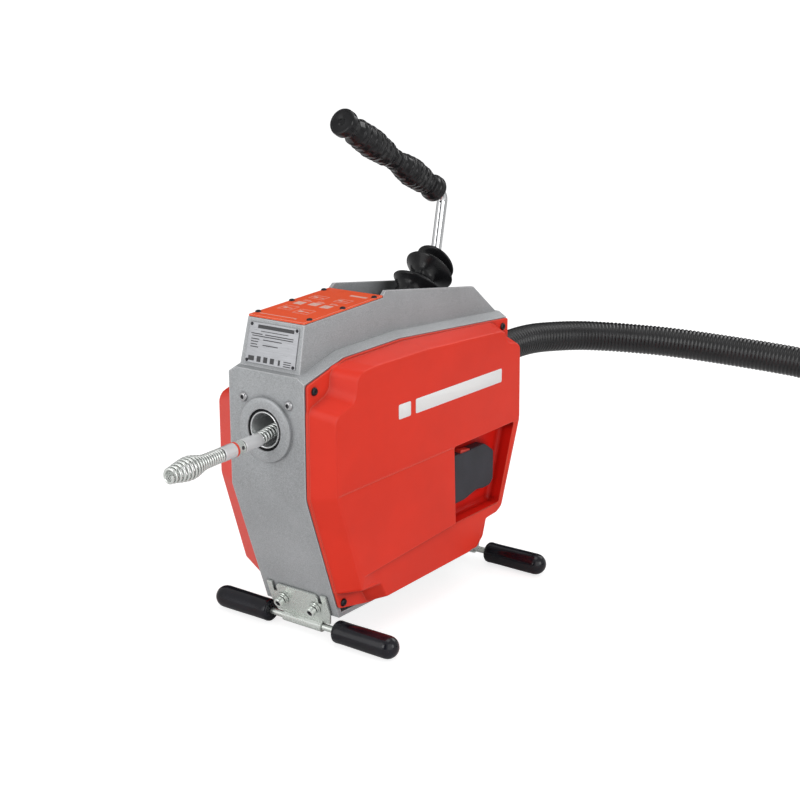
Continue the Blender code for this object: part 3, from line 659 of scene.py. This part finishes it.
COVER_X0 = 57 * MM
FLANGE_FACE = COVER_X0 + 3 * MM
COVER_GAP = 0.4 * MM
FACE_X = {"right": 85 * MM, "left": 99 * MM}
FLANGE = mm(
    [(-153.8, 329), (-153.8, 195.4), (-102, 47), (-42, 35.5), (190, 35.5), (204, 47), (256.2, 206),
     (256.2, 336.4), (22, 351), (-85, 348)]
)
COVER_FACE = mm(
    [(-130.5, 195), (-130.5, 285), (-125, 292.5), (-99, 300.5), (-93.2, 308), (-90, 327.5), (-82, 334.5),
     (-60, 337), (44, 337.5), (207, 330), (216, 326.5), (219.5, 317), (226, 311), (246, 307), (252.5, 301),
     (254.5, 206), (216.5, 91), (206, 85), (182, 83.5), (174.5, 78), (167.5, 60), (158, 51), (145, 47),
     (-34, 44.5), (-46, 66), (-89, 71)]
)
COVER_BASE = mm(
    [(-153.4, 196), (-153.4, 299), (-149.5, 305), (-124, 314), (-117.3, 321.5), (-115.5, 337), (-109, 343),
     (-85, 347), (22, 350), (211, 339), (223, 336), (228, 326), (234, 320), (250, 316), (255.6, 310),
     (255.6, 206), (217.5, 90), (208, 80.5), (184.5, 78.5), (178, 73.5), (171.5, 57), (163, 44),
     (150, 38), (-50, 37), (-62, 56), (-108, 66)]
)
# how far the flange's front edge lies behind the bulge's
LAP = {"right": 1.3 * MM, "left": 5 * MM}
POCKET = mm([(103, 200.5), (241, 202), (209, 98.5), (104, 99.5)])
COVER_SCREWS = mm([(-141, 321), (-93.5, 52.5), (243, 327), (192, 57)])
CREASE = {"y": -130 * MM, "z": 198 * MM, "slope": 0.0107, "height": 0.6 * MM, "width": 0.9 * MM}
STEP = {"y": -83 * MM, "z": 88 * MM, "slope": 0.0615, "depth": 3.4 * MM, "height": 1.3 * MM}
EDGE_ROUND = 1.7 * MM


def line_z(line, y):
    return line["z"] + (y - line["y"]) * line["slope"]


def face_depth(y, z):
    """How far the cover's face lies inside its outermost plane.

    The face is set back a little above a faint crease, leans out below it, and is cut back under a step that
    deepens away from the front edge.
    """
    crease = line_z(CREASE, y)
    step = line_z(STEP, y)
    lean = 2.4 * MM * min(1.0, max(0.0, (z - step) / (crease - step)))
    ridge = CREASE["height"] * max(0.0, 1 - abs(z - crease) / CREASE["width"])
    deepening = smoothstep(-88 * MM, -60 * MM, y)
    lean += 0.05 * max(0.0, step - z)
    return lean - ridge + STEP["depth"] * deepening * smoothstep(0, STEP["height"], step - z)


def filled(bm, place, outline, holes, rows, spacing):
    """Triangles over a 2-D outline with holes; rows are (line, rise) pairs that the triangles follow."""
    points = [Vector(p) for p in outline]
    edges = [(i, (i + 1) % len(outline)) for i in range(len(outline))]
    for hole in holes:
        first = len(points)
        points += [Vector(p) for p in hole]
        edges += [(first + i, first + (i + 1) % len(hole)) for i in range(len(hole))]
    y0, y1 = min(p[0] for p in outline), max(p[0] for p in outline)
    z0, z1 = min(p[1] for p in outline), max(p[1] for p in outline)
    rims = [inset(outline, EDGE_ROUND), *[inset(hole, -EDGE_ROUND) for hole in holes]]
    for i in range(1, int((y1 - y0) / spacing) + 1):
        y = y0 + i * spacing
        heights = [line_z(line, y) + rise for line, rise in rows]
        grid = [z0 + j * spacing for j in range(1, int((z1 - z0) / spacing) + 1)]
        heights += [z for z in grid if all(abs(z - h) > EDGE_ROUND for h in heights)]
        for z in heights:
            if inside((y, z), rims[0]) and not any(inside((y, z), rim) for rim in rims[1:]):
                points.append(Vector((y, z)))
    made = delaunay_2d_cdt(points, edges, [], 0, 1e-7)
    verts = [bm.verts.new(place(*p)) for p in made[0]]
    for tri in made[2]:
        middle = sum((made[0][i] for i in tri), Vector((0, 0))) / 3
        if inside(middle, outline) and not any(inside(middle, hole) for hole in holes):
            bm.faces.new([verts[i] for i in tri])


def bezier(a, b, c, t):
    return a * (1 - t) ** 2 + b * (2 * t * (1 - t)) + c * t**2


def make_cover(hand, side):
    top = FACE_X[hand]
    pocketed = hand == "right"

    def at(x, y, z):
        return Vector((side * x, y, z))

    def on_face(y, z):
        return at(top - face_depth(y, z), y, z)

    def build(bm):
        foot = rounded(COVER_BASE, 4 * MM, 4)
        brow = rounded(COVER_FACE, 4 * MM, 4)
        rim = rounded(inset(COVER_FACE, EDGE_ROUND), 3 * MM, 4)
        share = 1 - EDGE_ROUND / (top - COVER_X0)
        rings = [[at(COVER_X0 + COVER_GAP, *p) for p in foot]]
        for k in range(5):
            ring = []
            for low, edge, inner in zip(foot, brow, rim):
                corner = on_face(*edge)
                start = at(COVER_X0 + COVER_GAP, *low).lerp(corner, share)
                ring.append(bezier(start, corner, on_face(*inner), k / 4))
            rings.append(ring)
        skin(bm, rings, False, False)
        flange = [(y + LAP[hand] if y < -95 * MM else y, z) for y, z in FLANGE]
        flange = rounded(flange, 3 * MM, 3)
        outer = FLANGE_FACE
        profile = ((0, COVER_X0), (0, outer - 0.7 * MM), (0.2 * MM, outer - 0.2 * MM), (0.7 * MM, outer))
        skin(bm, [[at(x, *p) for p in inset(flange, d)] for d, x in profile])
        holes = []
        if pocketed:
            mouth = rounded(POCKET, 4 * MM)
            lip = 1.3 * MM
            wide = inset(mouth, -lip)
            holes = [wide]
            inner = [[on_face(*p) for p in wide]]
            for k in (1, 2, 3):
                ring = []
                for out, hole in zip(wide, mouth):
                    corner = on_face(*hole)
                    ring.append(bezier(on_face(*out), corner, corner - at(lip, 0, 0), k / 3))
                inner.append(ring)
            floor = 61.5 * MM
            fillet = 6.5 * MM
            for k in range(6):
                a = k / 5 * math.pi / 2
                ring = rounded(inset(POCKET, fillet * (1 - math.cos(a))), 4 * MM)
                inner.append([at(floor + fillet * (1 - math.sin(a)), *p) for p in ring])
            skin(bm, inner, False, True)
        rows = [(CREASE, share * CREASE["width"]) for share in (-1, 0, 1)]
        rows += [(STEP, -share * STEP["height"]) for share in (0, 0.25, 0.5, 0.75, 1)]
        filled(bm, on_face, rim, holes, rows, 9 * MM)

    name = f"cover_{hand}"
    cover = link(f"{name}_shell", sharpen(mesh_from(name, build), 14), RED, "machine", [name])
    weigh(cover)
    if pocketed:
        # The pocket's faces take the darker red: painted shade.
        cover.data.materials.append(SHADED_POCKET_RED)
        for face in cover.data.polygons:
            if face.center.x < top - 4.5 * MM and inside(face.center.yz, inset(POCKET, -0.2 * MM)):
                face.material_index = 1
    for number, (y, z) in enumerate(COVER_SCREWS, 1):
        node = [f"cover_screw_{number}"] if pocketed else []
        place = at(FLANGE_FACE, y, z)
        button_screw(f"{name}_button_{number}", place, (side, 0, 0), 4.9 * MM, DARK_STEEL, node)


def weigh(obj):
    """Weighted normals keep the flat faces flat beside their rounded edges."""
    step = obj.modifiers.new("normals", "WEIGHTED_NORMAL")
    step.keep_sharp = True
    return obj


def button_screw(name, place, axis, r, finish, replaces=(), socket_shade_finish=BLACK_INK):
    """A domed screw head of radius r with a six-sided socket."""
    dome = [(0.46 * r, 0.52 * r), (0.60 * r, 0.53 * r), (0.80 * r, 0.44 * r), (0.93 * r, 0.28 * r),
            (r, 0.08 * r), (r, 0), (0.98 * r, -0.02 * r)]
    lathed(name, dome, finish, "machine", place, axis, 32, replaces)
    # The socket takes its own darker finish: painted shade inside the hex socket.
    socket = [(0.47 * r, 0.525 * r), (0.42 * r, 0.47 * r), (0.38 * r, 0.12 * r), (0, 0.10 * r)]
    lathed(name + "_socket", socket, socket_shade_finish, "machine", place, axis, 6)


def make_marks():
    """Plain stripes stand where the real machine carries printing."""

    def panel(y0, y1, z0, z1):
        outline = rounded(mm([(y0, z0), (y1, z0), (y1, z1), (y0, z1)]), 2.5 * MM, 4)
        loops = []
        for lift, shrink in ((0, 0), (0.22 * MM, 0), (0.3 * MM, 0.1 * MM)):
            face_x = FACE_X["right"] + lift
            loops.append([(face_x - face_depth(y, z), y, z) for y, z in inset(outline, shrink)])
        return loops

    def build(bm):
        skin(bm, panel(20, 208, 263, 281))
        skin(bm, panel(-14, 10, 263, 281))

    mesh = sharpen(mesh_from("side_stripe", build), 40)
    link("side_stripe", mesh, WHITE_INK, "machine")


# ---------------------------------------------------------------- plates on the neck

TOP_PLATE = (Vector((0, -134.3, 393.0)) * MM, Vector((0, 9.8, 401.1)) * MM, 2.5 * MM)
RATING_PLATE = (Vector((0, -148.7, 334)) * MM, Vector((0, -134.6, 392.6)) * MM, 1.1 * MM)


def plate_point(plate, u, v, lift=0.0):
    """A point u millimetres to the right, v up along the plate and lift metres off its face."""
    foot, head, thick = plate
    along = (head - foot).normalized()
    out = Vector((0, -along.z, along.y))
    return foot + Vector((u * MM, 0, 0)) + along * (v * MM) + out * (thick + lift)


def print_on(name, plate, shapes, finish):
    """Thin printed shapes: (u0, v0, u1, v1) is a filled bar; a fifth number makes it a frame that thick."""

    def build(bm):
        for u0, v0, u1, v1, *frame_width in shapes:
            width = frame_width[0] if frame_width else None
            outer = [(u0, v0), (u1, v0), (u1, v1), (u0, v1)]
            if width is None:
                skin(bm, [[plate_point(plate, *p, lift) for p in outer] for lift in (0, 0.06 * MM)])
            else:
                inner = [(u0 + width, v0 + width), (u1 - width, v0 + width), (u1 - width, v1 - width),
                         (u0 + width, v1 - width)]
                loops = [(outer, 0), (outer, 0.06 * MM), (inner, 0.06 * MM), (inner, 0)]
                skin(bm, [[plate_point(plate, *p, lift) for p in loop] for loop, lift in loops], False, False)

    link(name, mesh_from(name, build, False), finish, "machine")


def make_plate_marks():
    bars = [(-33, 9, 23, 10.6), (21.4, 6.5, 23, 10.6), (8, 122, 33, 127)]
    frames = []
    for u0, v0, wide, high in ((-30, 36, 20, 17), (-2, 30, 22, 17), (-30, 92, 22, 14), (8, 92, 20, 14)):
        frames.append((u0, v0, u0 + wide, v0 + high, 0.7))
        bars += [(u0 + 3, v0 + high * 0.35, u0 + wide * 0.45, v0 + high * 0.65),
                 (u0 + wide * 0.55, v0 + high * 0.4, u0 + wide - 3, v0 + high * 0.5)]
    for k, u0 in enumerate((-29, -9, 11)):
        bars += [(u0, 62 + 3 * (k % 2), u0 + 13, 74 + 3 * (k % 2))]
        bars += [(u0 + 2, 79, u0 + 15, 80.2), (u0 + 2, 82, u0 + 11, 83.2)]
    print_on("top_plate_print", TOP_PLATE, [*bars, *frames], PALE_INK)
    rows = [(-24, 49, 30, 53.2), (-19, 45.6, 22, 46.4)]
    for v, *ends in ((42, -33, -16, -12, 30), (39.6, -31, 30), (36, -32, -20, -14, 14), (33, -32, -21),
                     (30, -32, -22, -14, 9), (27, -32, -20)):
        rows += [(a, v, b, v + 1.1) for a, b in zip(ends[::2], ends[1::2])]
    rows += [(-33, 11.5, -24, 17), (-20, 11, -14, 17.5), (-10, 11, -4, 17.5), (0, 11, 6, 17.5),
             (12, 11, 15, 17), (20, 15.5, 31, 16.6), (20, 13, 31, 14.1), (20, 10.5, 31, 11.6)]
    print_on("rating_plate_print", RATING_PLATE, rows, BLACK_INK)
    out = plate_point(RATING_PLATE, 0, 0, 1) - plate_point(RATING_PLATE, 0, 0)
    for number, (u, v) in enumerate(((-34.5, 11.5), (34.5, 11.5), (-33.6, 53), (33.6, 53)), 1):
        dome = mm([(2.0, -0.2), (2.0, 0.3), (1.6, 0.9), (0.9, 1.2), (0, 1.3)])
        place = plate_point(RATING_PLATE, u, v)
        lathed(f"plate_rivet_{number}", dome, DARK_STEEL, "machine", place, out, 24)
    foot, head, thick = TOP_PLATE
    number = 0
    up = plate_point(TOP_PLATE, 0, 0, 1) - plate_point(TOP_PLATE, 0, 0)
    for x in (-38.4 * MM, 38.4 * MM):
        for share in (0.09, 0.5, 0.91):
            number += 1
            place = foot.lerp(head, share) + up.normalized() * thick + Vector((x, 0, 0))
            name = f"top_plate_screw_{number}"
            button_screw(f"{name}_head", place, up, 3.5 * MM, DARK_STEEL, [name])


# ---------------------------------------------------------------- the mouth, the spiral and its tool


def make_mouth():
    out = (0, -1, 0)
    centre = (0, 0, AXIS_Z)
    rim = mm([(38.6, 154.4), (38.3, 154.6), (38.2, 155.0), (38.0, 157.8), (37.6, 158.6), (36.9, 159.1),
              (34.8, 159.5), (32.9, 159.7), (26.4, 159.7), (25.5, 159.4), (24.9, 158.6), (24.8, 150)])
    lathed("mouth_rim", rim, GREY, "machine", centre, out, 96)
    seal = mm([(24.85, 157.4), (24.6, 157.6), (22.2, 157.2), (21.8, 156.8), (21.8, 150)])
    lathed("mouth_seal", seal, SEAL_RUBBER, "machine", centre, out, 96)
    liner = mm([(21.7, 140), (21.7, 157.8), (21.4, 158.4), (20.9, 158.6), (20.0, 158.3), (19.7, 157.6),
                (19.6, 152.5), (19.6, 40)])
    lathed("spindle_liner", liner, BORE, "spindle", centre, out, 96)
    for number, x in ((1, -34 * MM), (2, 34 * MM)):
        name = f"front_screw_{number}"
        place = (x, FRONT_Y, 303.3 * MM)
        button_screw(f"{name}_head", place, out, 5.7 * MM, STEEL, [name], CAST)


def make_spiral():
    sag = mm([(0, 60, 270), (0, -60, 270), (0, -90, 270), (0, -112, 269.4), (0, -130, 267.9),
              (0, -148, 265.6), (0, -162, 262.6), (0, -173, 260.9)])
    line = smooth_line(sag, 1.0 * MM)
    wire_r = 1.75 * MM
    pitch = 4.6 * MM
    turns_a_step = 1.0 * MM / pitch
    coiled = []
    for i, (point, (a, b)) in enumerate(zip(line, frames_along(line))):
        if point.y < -168.5 * MM:
            break
        for part in range(3):
            t = (i + part / 3) * turns_a_step * math.tau
            ahead = Vector(line[min(i + 1, len(line) - 1)])
            centre = Vector(point).lerp(ahead, part / 3)
            coiled.append(centre + (a * math.cos(t) + b * math.sin(t)) * (SPIRAL_R - wire_r))
    swept("spiral_wire", coiled, wire_r, WIRE, "spiral", 8, ["spiral"])
    # The near-black core inside the coil stands for the shade between the turns: painted shade.
    core = [(0, 295 * MM, AXIS_Z), (0, 61 * MM, AXIS_Z), *line]
    swept("spiral_core_painted_shade", core, 4.9 * MM, DARK_STEEL, "spiral", 16)
    rear = [(0, 299 * MM, AXIS_Z), (0, 60 * MM, AXIS_Z)]
    swept("spiral_rear", rear, SPIRAL_R - 0.1 * MM, WIRE, "spiral", 24)

    start = Vector((0, -184, 260.4)) * MM
    along = Vector((0, -1, -0.045)).normalized()

    def turned(name, profile, finish, replaces=()):
        lathed(name, mm(profile), finish, "spiral", start, along, 40, replaces)

    turned("spiral_sleeve", [(5, -16.6), (7.5, -16.6), (8.0, -16), (8.0, 11.8), (7.6, 12.4),
                             (5, 12.4)], BRIGHT)
    turned("coupling_groove", [(5, 12), (7.3, 12), (7.3, 14), (5, 14)], DARK_STEEL)
    turned("coupling_sleeve", [(5, 13.4), (7.7, 13.4), (8.2, 13.9), (8.2, 15), (8.0, 15.3), (8.0, 15.8),
                               (8.2, 16.1), (8.2, 24), (5, 24)], ZINC, ["spiral_coupling"])
    turned("coupling_ring", [(6, 23.8), (8.3, 23.8), (8.7, 24.2), (8.7, 26.7), (8.3, 27.1),
                             (6, 27.1)], RING_RED)
    turned("tool_sleeve", [(6, 26.9), (8.2, 26.9), (8.55, 27.4), (8.55, 45.4), (8.1, 46), (6, 46)], BRIGHT)
    out = Vector((0.97, 0, 0.2))
    centre = start + along * 18.6 * MM
    # A thin black disc on the coupling's surface is painted shade standing for the pin hole.
    pin = mm([(2.3, 7.8), (2.3, 8.35), (2.0, 8.4), (0, 8.3)])
    lathed("coupling_pin_hole_painted_shade", pin, BLACK_INK, "spiral", centre, out, 20)

    tool_r = 1.65 * MM

    def outer_radius(share):
        if share < 0.3:
            return (8.5 + 0.7 * share) * MM - tool_r
        if share < 0.62:
            return lerp(8.7, 13.8, smoothstep(0.3, 0.62, share)) * MM - tool_r
        return lerp(13.8, 8.7, smoothstep(0.62, 1.04, share)) * MM - tool_r

    # the pitch opens as the wire swells, so the coil is built turn by turn
    a = along.cross(Vector((1, 0, 0))).normalized()
    b = along.cross(a)
    length = 82.5 * MM
    height = 0.0
    turn = 0.0
    wire = []
    while height < length:
        share = height / length
        r = outer_radius(share)
        wire.append(start + along * (46 * MM + height) + (a * math.cos(turn) + b * math.sin(turn)) * r)
        pitch = lerp(3.5, 5.1, smoothstep(0.25, 0.5, share)) * MM
        height += pitch / 16
        turn += math.tau / 16
    swept("club_auger_wire", wire, tool_r, TOOL_WIRE, "spiral", 10, ["club_auger"])


# ---------------------------------------------------------------- the lever


def bent(corners, radius, steps=10):
    """Straight runs through the corners, with each inner corner turned on an arc."""
    points = [Vector(corners[0])]
    for before, corner, after in zip(corners, corners[1:], corners[2:]):
        before, corner, after = Vector(before), Vector(corner), Vector(after)
        into = (corner - before).normalized()
        out = (after - corner).normalized()
        half = into.angle(out) / 2
        back = radius * math.tan(half)
        centre = corner + (out - into).normalized() * (radius / math.cos(half))
        start = (corner - into * back - centre).normalized()
        end = (corner + out * back - centre).normalized()
        points += [centre + start.slerp(end, k / steps) * radius for k in range(steps + 1)]
    points.append(Vector(corners[-1]))
    return points


def make_lever():
    along = (GRIP_END - GRIP_START).normalized()
    bend_low = Vector((0, 172.5, 413.5)) * MM
    bend_high = GRIP_START - along * 17.5 * MM
    start = PIVOT.lerp(bend_low, 0.2)
    path = bent([start, bend_low, bend_high, GRIP_END - along * 20 * MM], 11 * MM)
    swept("lever_rod", path, ROD_R + 0.12 * MM, CHROME, "lever", 40)


def make_grip():
    """A waisted grip of overlapping scales between two flanges."""
    axis = (GRIP_END - GRIP_START).normalized()
    length = (GRIP_END - GRIP_START).length
    side = axis.cross(Vector((1, 0, 0))).normalized()
    across = axis.cross(side)
    # radius in mm at shares of the length, from the tip to the rod
    shape = ((0, 15.6), (0.012, 16.7), (0.045, 16.75), (0.062, 14.8), (0.085, 13.6), (0.16, 17.2),
             (0.30, 18.8), (0.42, 16.7), (0.50, 13.5), (0.56, 13.2), (0.64, 16.7), (0.72, 18.6),
             (0.82, 17.2), (0.91, 14.0), (0.935, 14.8), (0.955, 16.7), (0.988, 16.75), (1, 15.6))
    bulges = ((0.088, 0.535), (0.545, 0.915))
    ribs = 9
    sides = 108

    def smooth_radius(share):
        for (s0, r0), (s1, r1) in zip(shape, shape[1:]):
            if share <= s1:
                return lerp(r0, r1, smoothstep(s0, s1, share)) * MM
        return shape[-1][1] * MM

    def scale_depth(share, angle):
        for low, high in bulges:
            if low < share < high:
                turn = (share - low) / (high - low) * ribs
                rib = math.floor(turn)
                rise = turn - rib
                saw = (1 - rise) ** 0.8 if rise > 0.18 else 1 - (1 - rise / 0.18) ** 2
                scallop = (0.5 - 0.5 * math.cos(9 * angle + math.pi * (rib % 2)))
                return (1 - saw) * 1.25 * MM + scallop * 0.4 * MM
        return 0.0

    def build(bm):
        loops = []
        count = 230
        for k in range(count + 1):
            share = k / count
            centre = GRIP_END - axis * length * share
            ring = []
            for j in range(sides):
                t = j * math.tau / sides
                r = smooth_radius(share) - scale_depth(share, t)
                ring.append(centre + (side * math.cos(t) + across * math.sin(t)) * r)
            loops.append(ring)
        skin(bm, loops, False, True)

    mesh = sharpen(mesh_from("lever_grip_scales", build), 50)
    link("lever_grip_scales", mesh, GRIP_RUBBER, "lever", ["lever_grip"])
    cap = mm([(15.7, 0), (14.6, 0.45), (13.2, 0.5), (12.6, -0.3), (6, -0.6), (4.6, -1.2), (3.4, -2.4),
              (0, -2.8)])
    sunk = [(r, h - 0.05 * MM) for r, h in cap]
    lathed("lever_grip_cap", sunk, GRIP_RUBBER, "lever", GRIP_END, axis, 56)


def make_boot():
    """Three thin-rimmed rubber saucers that lean further over as they climb the rod."""
    # centre (y, z), lean of the ring's plane in degrees, radius
    rings = (
        (108, 374, 42, 21), (116, 379.5, 41, 20), (124, 384.5, 40, 20), (130, 388.5, 40, 25),
        (133.2, 391.2, 40, 30.2), (134.4, 392.2, 40, 31.8), (135.2, 393.0, 40, 32.3),
        (136.0, 393.9, 40, 31.8), (136.6, 394.4, 40, 29.8), (138.6, 395, 40, 22.5),
        (142.5, 396.2, 42, 17.5), (147, 398.6, 47, 16), (151.5, 401, 51, 18.5),
        (156, 403.6, 53, 25), (159.6, 405.8, 54, 31), (160.8, 406.6, 54, 32.6), (161.6, 407.3, 54, 33),
        (162.5, 407.9, 54, 32.3), (162.9, 408, 55, 30), (163.4, 408.2, 56, 22), (165.4, 409.4, 58, 15.5),
        (167.8, 411, 60, 14.5), (169.8, 412.2, 62, 17), (171.8, 413.4, 63, 22.5), (173.0, 414.1, 63, 26),
        (173.8, 414.6, 63, 27), (174.5, 415, 63, 27.2), (175.3, 415.4, 63, 26.4), (175.6, 415.6, 62, 24),
        (175.0, 416.0, 52, 15), (174.4, 418.4, 32, 10.5), (174.2, 422, 12, 8.4), (174.2, 427, 2, 7.9),
        (174.2, 428.4, 0, 7.3),
    )

    def build(bm):
        loops = []
        for y, z, lean, r in rings:
            a = math.radians(lean)
            up = Vector((0, -math.cos(a), math.sin(a)))
            centre = Vector((0, y, z)) * MM
            ring = []
            for k in range(64):
                t = k * math.tau / 64
                ring.append(centre + (Vector((math.cos(t), 0, 0)) + up * math.sin(t)) * r * MM)
            loops.append(ring)
        skin(bm, loops, False, False)

    mesh = sharpen(mesh_from("lever_bellows", build), 60)
    boot = link("lever_bellows", mesh, BOOT_RUBBER, None, ["lever_boot"])
    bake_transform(boot)


# ---------------------------------------------------------------- feet, switch and hose end

WALLS = {
    "front": (-1, (-97.5 * MM, 33 * MM), (-154.5 * MM, 195 * MM)),
    "rear": (1, (200 * MM, 33 * MM), (257 * MM, 206 * MM)),
}


def make_feet():
    for end, (side, sill, bend) in WALLS.items():
        name = f"{end}_foot"
        y = FOOT_Y[end]
        bar = mm([(0, -130), (4.1, -130), (4.1, 130), (0, 130)])
        lathed(f"{name}_rod", bar, ZINC, "machine", (0, y, FOOT_Z), (1, 0, 0), 32, [f"{name}_bar"])
        for hand, way in (("left", -1), ("right", 1)):
            grip = [(4.3, 1.5), (6, 0.3), (9.5, 0), (12.2, 0.5), (13.5, 2), (13.95, 4.4), (13.7, 8),
                    (13.6, 20), (13.9, 50), (13.95, 72)]
            turns = (0, 0.25, 0.5, 0.75, 1, 1.25, 1.45)
            tip = [(13.95 * math.cos(a), 76.2 + 14 * math.sin(a)) for a in turns]
            grip += [*tip, (0, 90.2)]
            place = (way * GRIP_IN, y, FOOT_Z)
            node = f"{name}_grip_{hand}"
            axis = (way, 0, 0)
            lathed(f"{node}_dip", mm(grip), VINYL, "machine", place, axis, 56, [node], 60)
        up = Vector((0, bend[0] - sill[0], bend[1] - sill[1])).normalized()
        out = Vector((0, side * up.z, -side * up.y))
        base = Vector((0, *sill)) + out * 0.3 * MM
        for number, x in ((1, -25 * MM), (2, 25 * MM)):
            seat = base + up * 9 * MM + Vector((x, 0, 0))
            bolt = [(3, 3.1), (7.8, 3.1), (8, 3.5), (8, 4.3), (7.6, 4.7), (6.2, 4.8), (6.2, 6.4),
                    (5.8, 6.8), (4.2, 6.9), (4.2, 8.0), (5.8, 8.1), (6.2, 8.6), (6.2, 14.3), (5.7, 14.9),
                    (3.7, 15), (3.4, 14.5)]
            node = f"{name}_bolt_{number}"
            lathed(f"{node}_turned", mm(bolt), ZINC, "machine", seat, out, 32, [node])
            # The socket's darker cast-iron finish is painted shade inside the hex socket.
            socket = mm([(3.5, 14.8), (3.3, 14.4), (3.2, 11), (0, 10.8)])
            lathed(f"{node}_socket", socket, CAST, "machine", seat, out, 6)


def make_switch():
    """The switch housing: its rear top corner is cut off, its underside is scooped, all edges are rounded."""
    low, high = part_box("switch_box")
    outline = mm([(112.3, 119.5), (112.3, 184.6), (183, 184.6), (203.6, 171), (203.6, 131), (196, 124.5),
                  (182, 123.5), (166, 126), (150, 122.5), (138, 119.5)])
    soft = rounded(outline, 3.5 * MM, 4)
    recess = mm([(127.6, 176.2), (127.6, 192), (152.4, 192), (152.4, 176.2)])
    rounding = 3.0 * MM

    def build(bm):
        loops = [[(low.x, *p) for p in soft]]
        for k in range(7):
            a = k / 6 * math.pi / 2
            drop = rounding * (1 - math.sin(a))
            pull = rounding * (1 - math.cos(a))
            loops.append([(high.x - 0.1 * MM - drop, *p) for p in inset(soft, pull)])
        skin(bm, loops)

    ends = [[(x * MM, *p) for p in recess] for x in (63.7, 74.7)]
    cutter = mesh_from("rocker_recess", lambda bm: skin(bm, ends))
    mesh = carved(mesh_from("switch_housing", build), cutter)
    weigh(link("switch_housing", sharpen(mesh, 30), PLASTIC, "machine", ["switch_box"]))


def carved(body_mesh, cutter_mesh):
    """The body's mesh with the cutter's shape taken out of it."""
    body, cutter = (bpy.data.objects.new(mesh.name, mesh) for mesh in (body_mesh, cutter_mesh))
    for made in (body, cutter):
        bpy.context.scene.collection.objects.link(made)
    cut = body.modifiers.new("cut", "BOOLEAN")
    cut.object = cutter
    cut.operation = "DIFFERENCE"
    graph = bpy.context.evaluated_depsgraph_get()
    mesh = bpy.data.meshes.new_from_object(body.evaluated_get(graph))
    for made in (body, cutter):
        bpy.data.objects.remove(made)
    return mesh


def make_hose_start():
    back = (0, 1, 0)
    centre = (0, 0, AXIS_Z)
    collar = mm([(21, 257.2), (33, 257.2), (33.2, 258), (33.2, 261.6), (32.6, 262.6), (31, 263.2),
                 (24.6, 263.6), (23, 264.6), (22.3, 266.4), (22.3, 312), (21.8, 313), (21, 313.2)])
    lathed("nozzle_collar", collar, RUBBER, "machine", centre, back, 64, ["hose_nozzle"])
    band = mm([(20, 311.5), (22.4, 311.5), (22.7, 312), (22.7, 316.6), (22.4, 317.2), (20, 317.2)])
    lathed("nozzle_band", band, ZINC, "machine", centre, back, 64)
    ribs = []
    for k in range(4):
        h = 2 + 2.4 * k
        ribs += [(9.2 - 0.8 * k, h), (9.2 - 0.8 * k, h + 1.2), (7.4 - 0.6 * k, h + 1.6)]
    gland = mm([(11, 0.3), (11, 1.8), *ribs, (4.6, 13), (4.2, 22), (0, 22)])
    place = (-30 * MM, 257 * MM, 232 * MM)
    lathed("cable_gland_ribbed", gland, PLASTIC, "machine", place, back, 32, ["cable_gland"])


def soften(name, width):
    """Rounds the sharp edges of a CAD node with modifiers only."""
    node = nodes[name]
    weld = node.modifiers.new("weld", "WELD")
    weld.merge_threshold = 0.01 * MM
    flat = node.modifiers.new("flat", "DECIMATE")
    flat.decimate_type = "DISSOLVE"
    flat.angle_limit = math.radians(1.0)
    edge = node.modifiers.new("edges", "BEVEL")
    edge.width = width
    edge.segments = 3
    edge.limit_method = "ANGLE"
    edge.angle_limit = math.radians(30)
    edge.use_clamp_overlap = True
    edge.harden_normals = False
    node.data.shade_smooth()
    weigh(node)


for cover_hand, cover_side in (("right", 1), ("left", -1)):
    make_cover(cover_hand, cover_side)
make_marks()
make_plate_marks()
make_mouth()
make_spiral()
make_lever()
make_grip()
make_boot()
make_feet()
make_switch()
make_hose_start()
soften("housing", 1.6 * MM)
for sharp_node in ("top_plate", "rating_plate"):
    soften(sharp_node, 0.3 * MM)
for sharp_node in ("front_foot_bracket", "rear_foot_bracket"):
    soften(sharp_node, 0.5 * MM)
soften("switch_rocker", 0.6 * MM)

# ---------------------------------------------------------------- finishes of the CAD nodes that stay

FINISHES = {
    "housing": GREY,
    "cover_": RED,
    "cover_screw": DARK_STEEL,
    "top_plate": ORANGE,
    "top_plate_screw": DARK_STEEL,
    "rating_plate": FOIL,
    "front_screw": ZINC,
    "front_bearing_flange": CAST,
    "rear_bearing_bridge": CAST,
    "bearing_": STEEL,
    "spindle": STEEL,
    "spindle_pulley": CAST,
    "motor_casing": CAST,
    "motor_rotor": STEEL,
    "motor_pulley": CAST,
    "drive_belt": BELT,
    "clamp_": STEEL,
    "lever": CHROME,
    "lever_grip": RUBBER,
    "lever_boot": RUBBER,
    "lever_pivot_pin": STEEL,
    "pivot_bush": BRONZE,
    "spiral": WIRE,
    "spiral_coupling": ZINC,
    "club_auger": WIRE,
    "front_foot": ZINC,
    "rear_foot": ZINC,
    "front_foot_grip": VINYL,
    "rear_foot_grip": VINYL,
    "switch_box": PLASTIC,
    "switch_rocker": ink("rocker_red", (0.7, 0.05, 0.03)),
    "hose_nozzle": RUBBER,
    "cable_gland": PLASTIC,
    "guide_hose": HOSE,
    "hose_end_cuff": RUBBER,
}


def dress(name, node):
    best = max((key for key in FINISHES if name.startswith(key)), key=len)
    node.data.materials.clear()
    node.data.materials.append(FINISHES[best])


for node_name, node in nodes.items():
    dress(node_name, node)
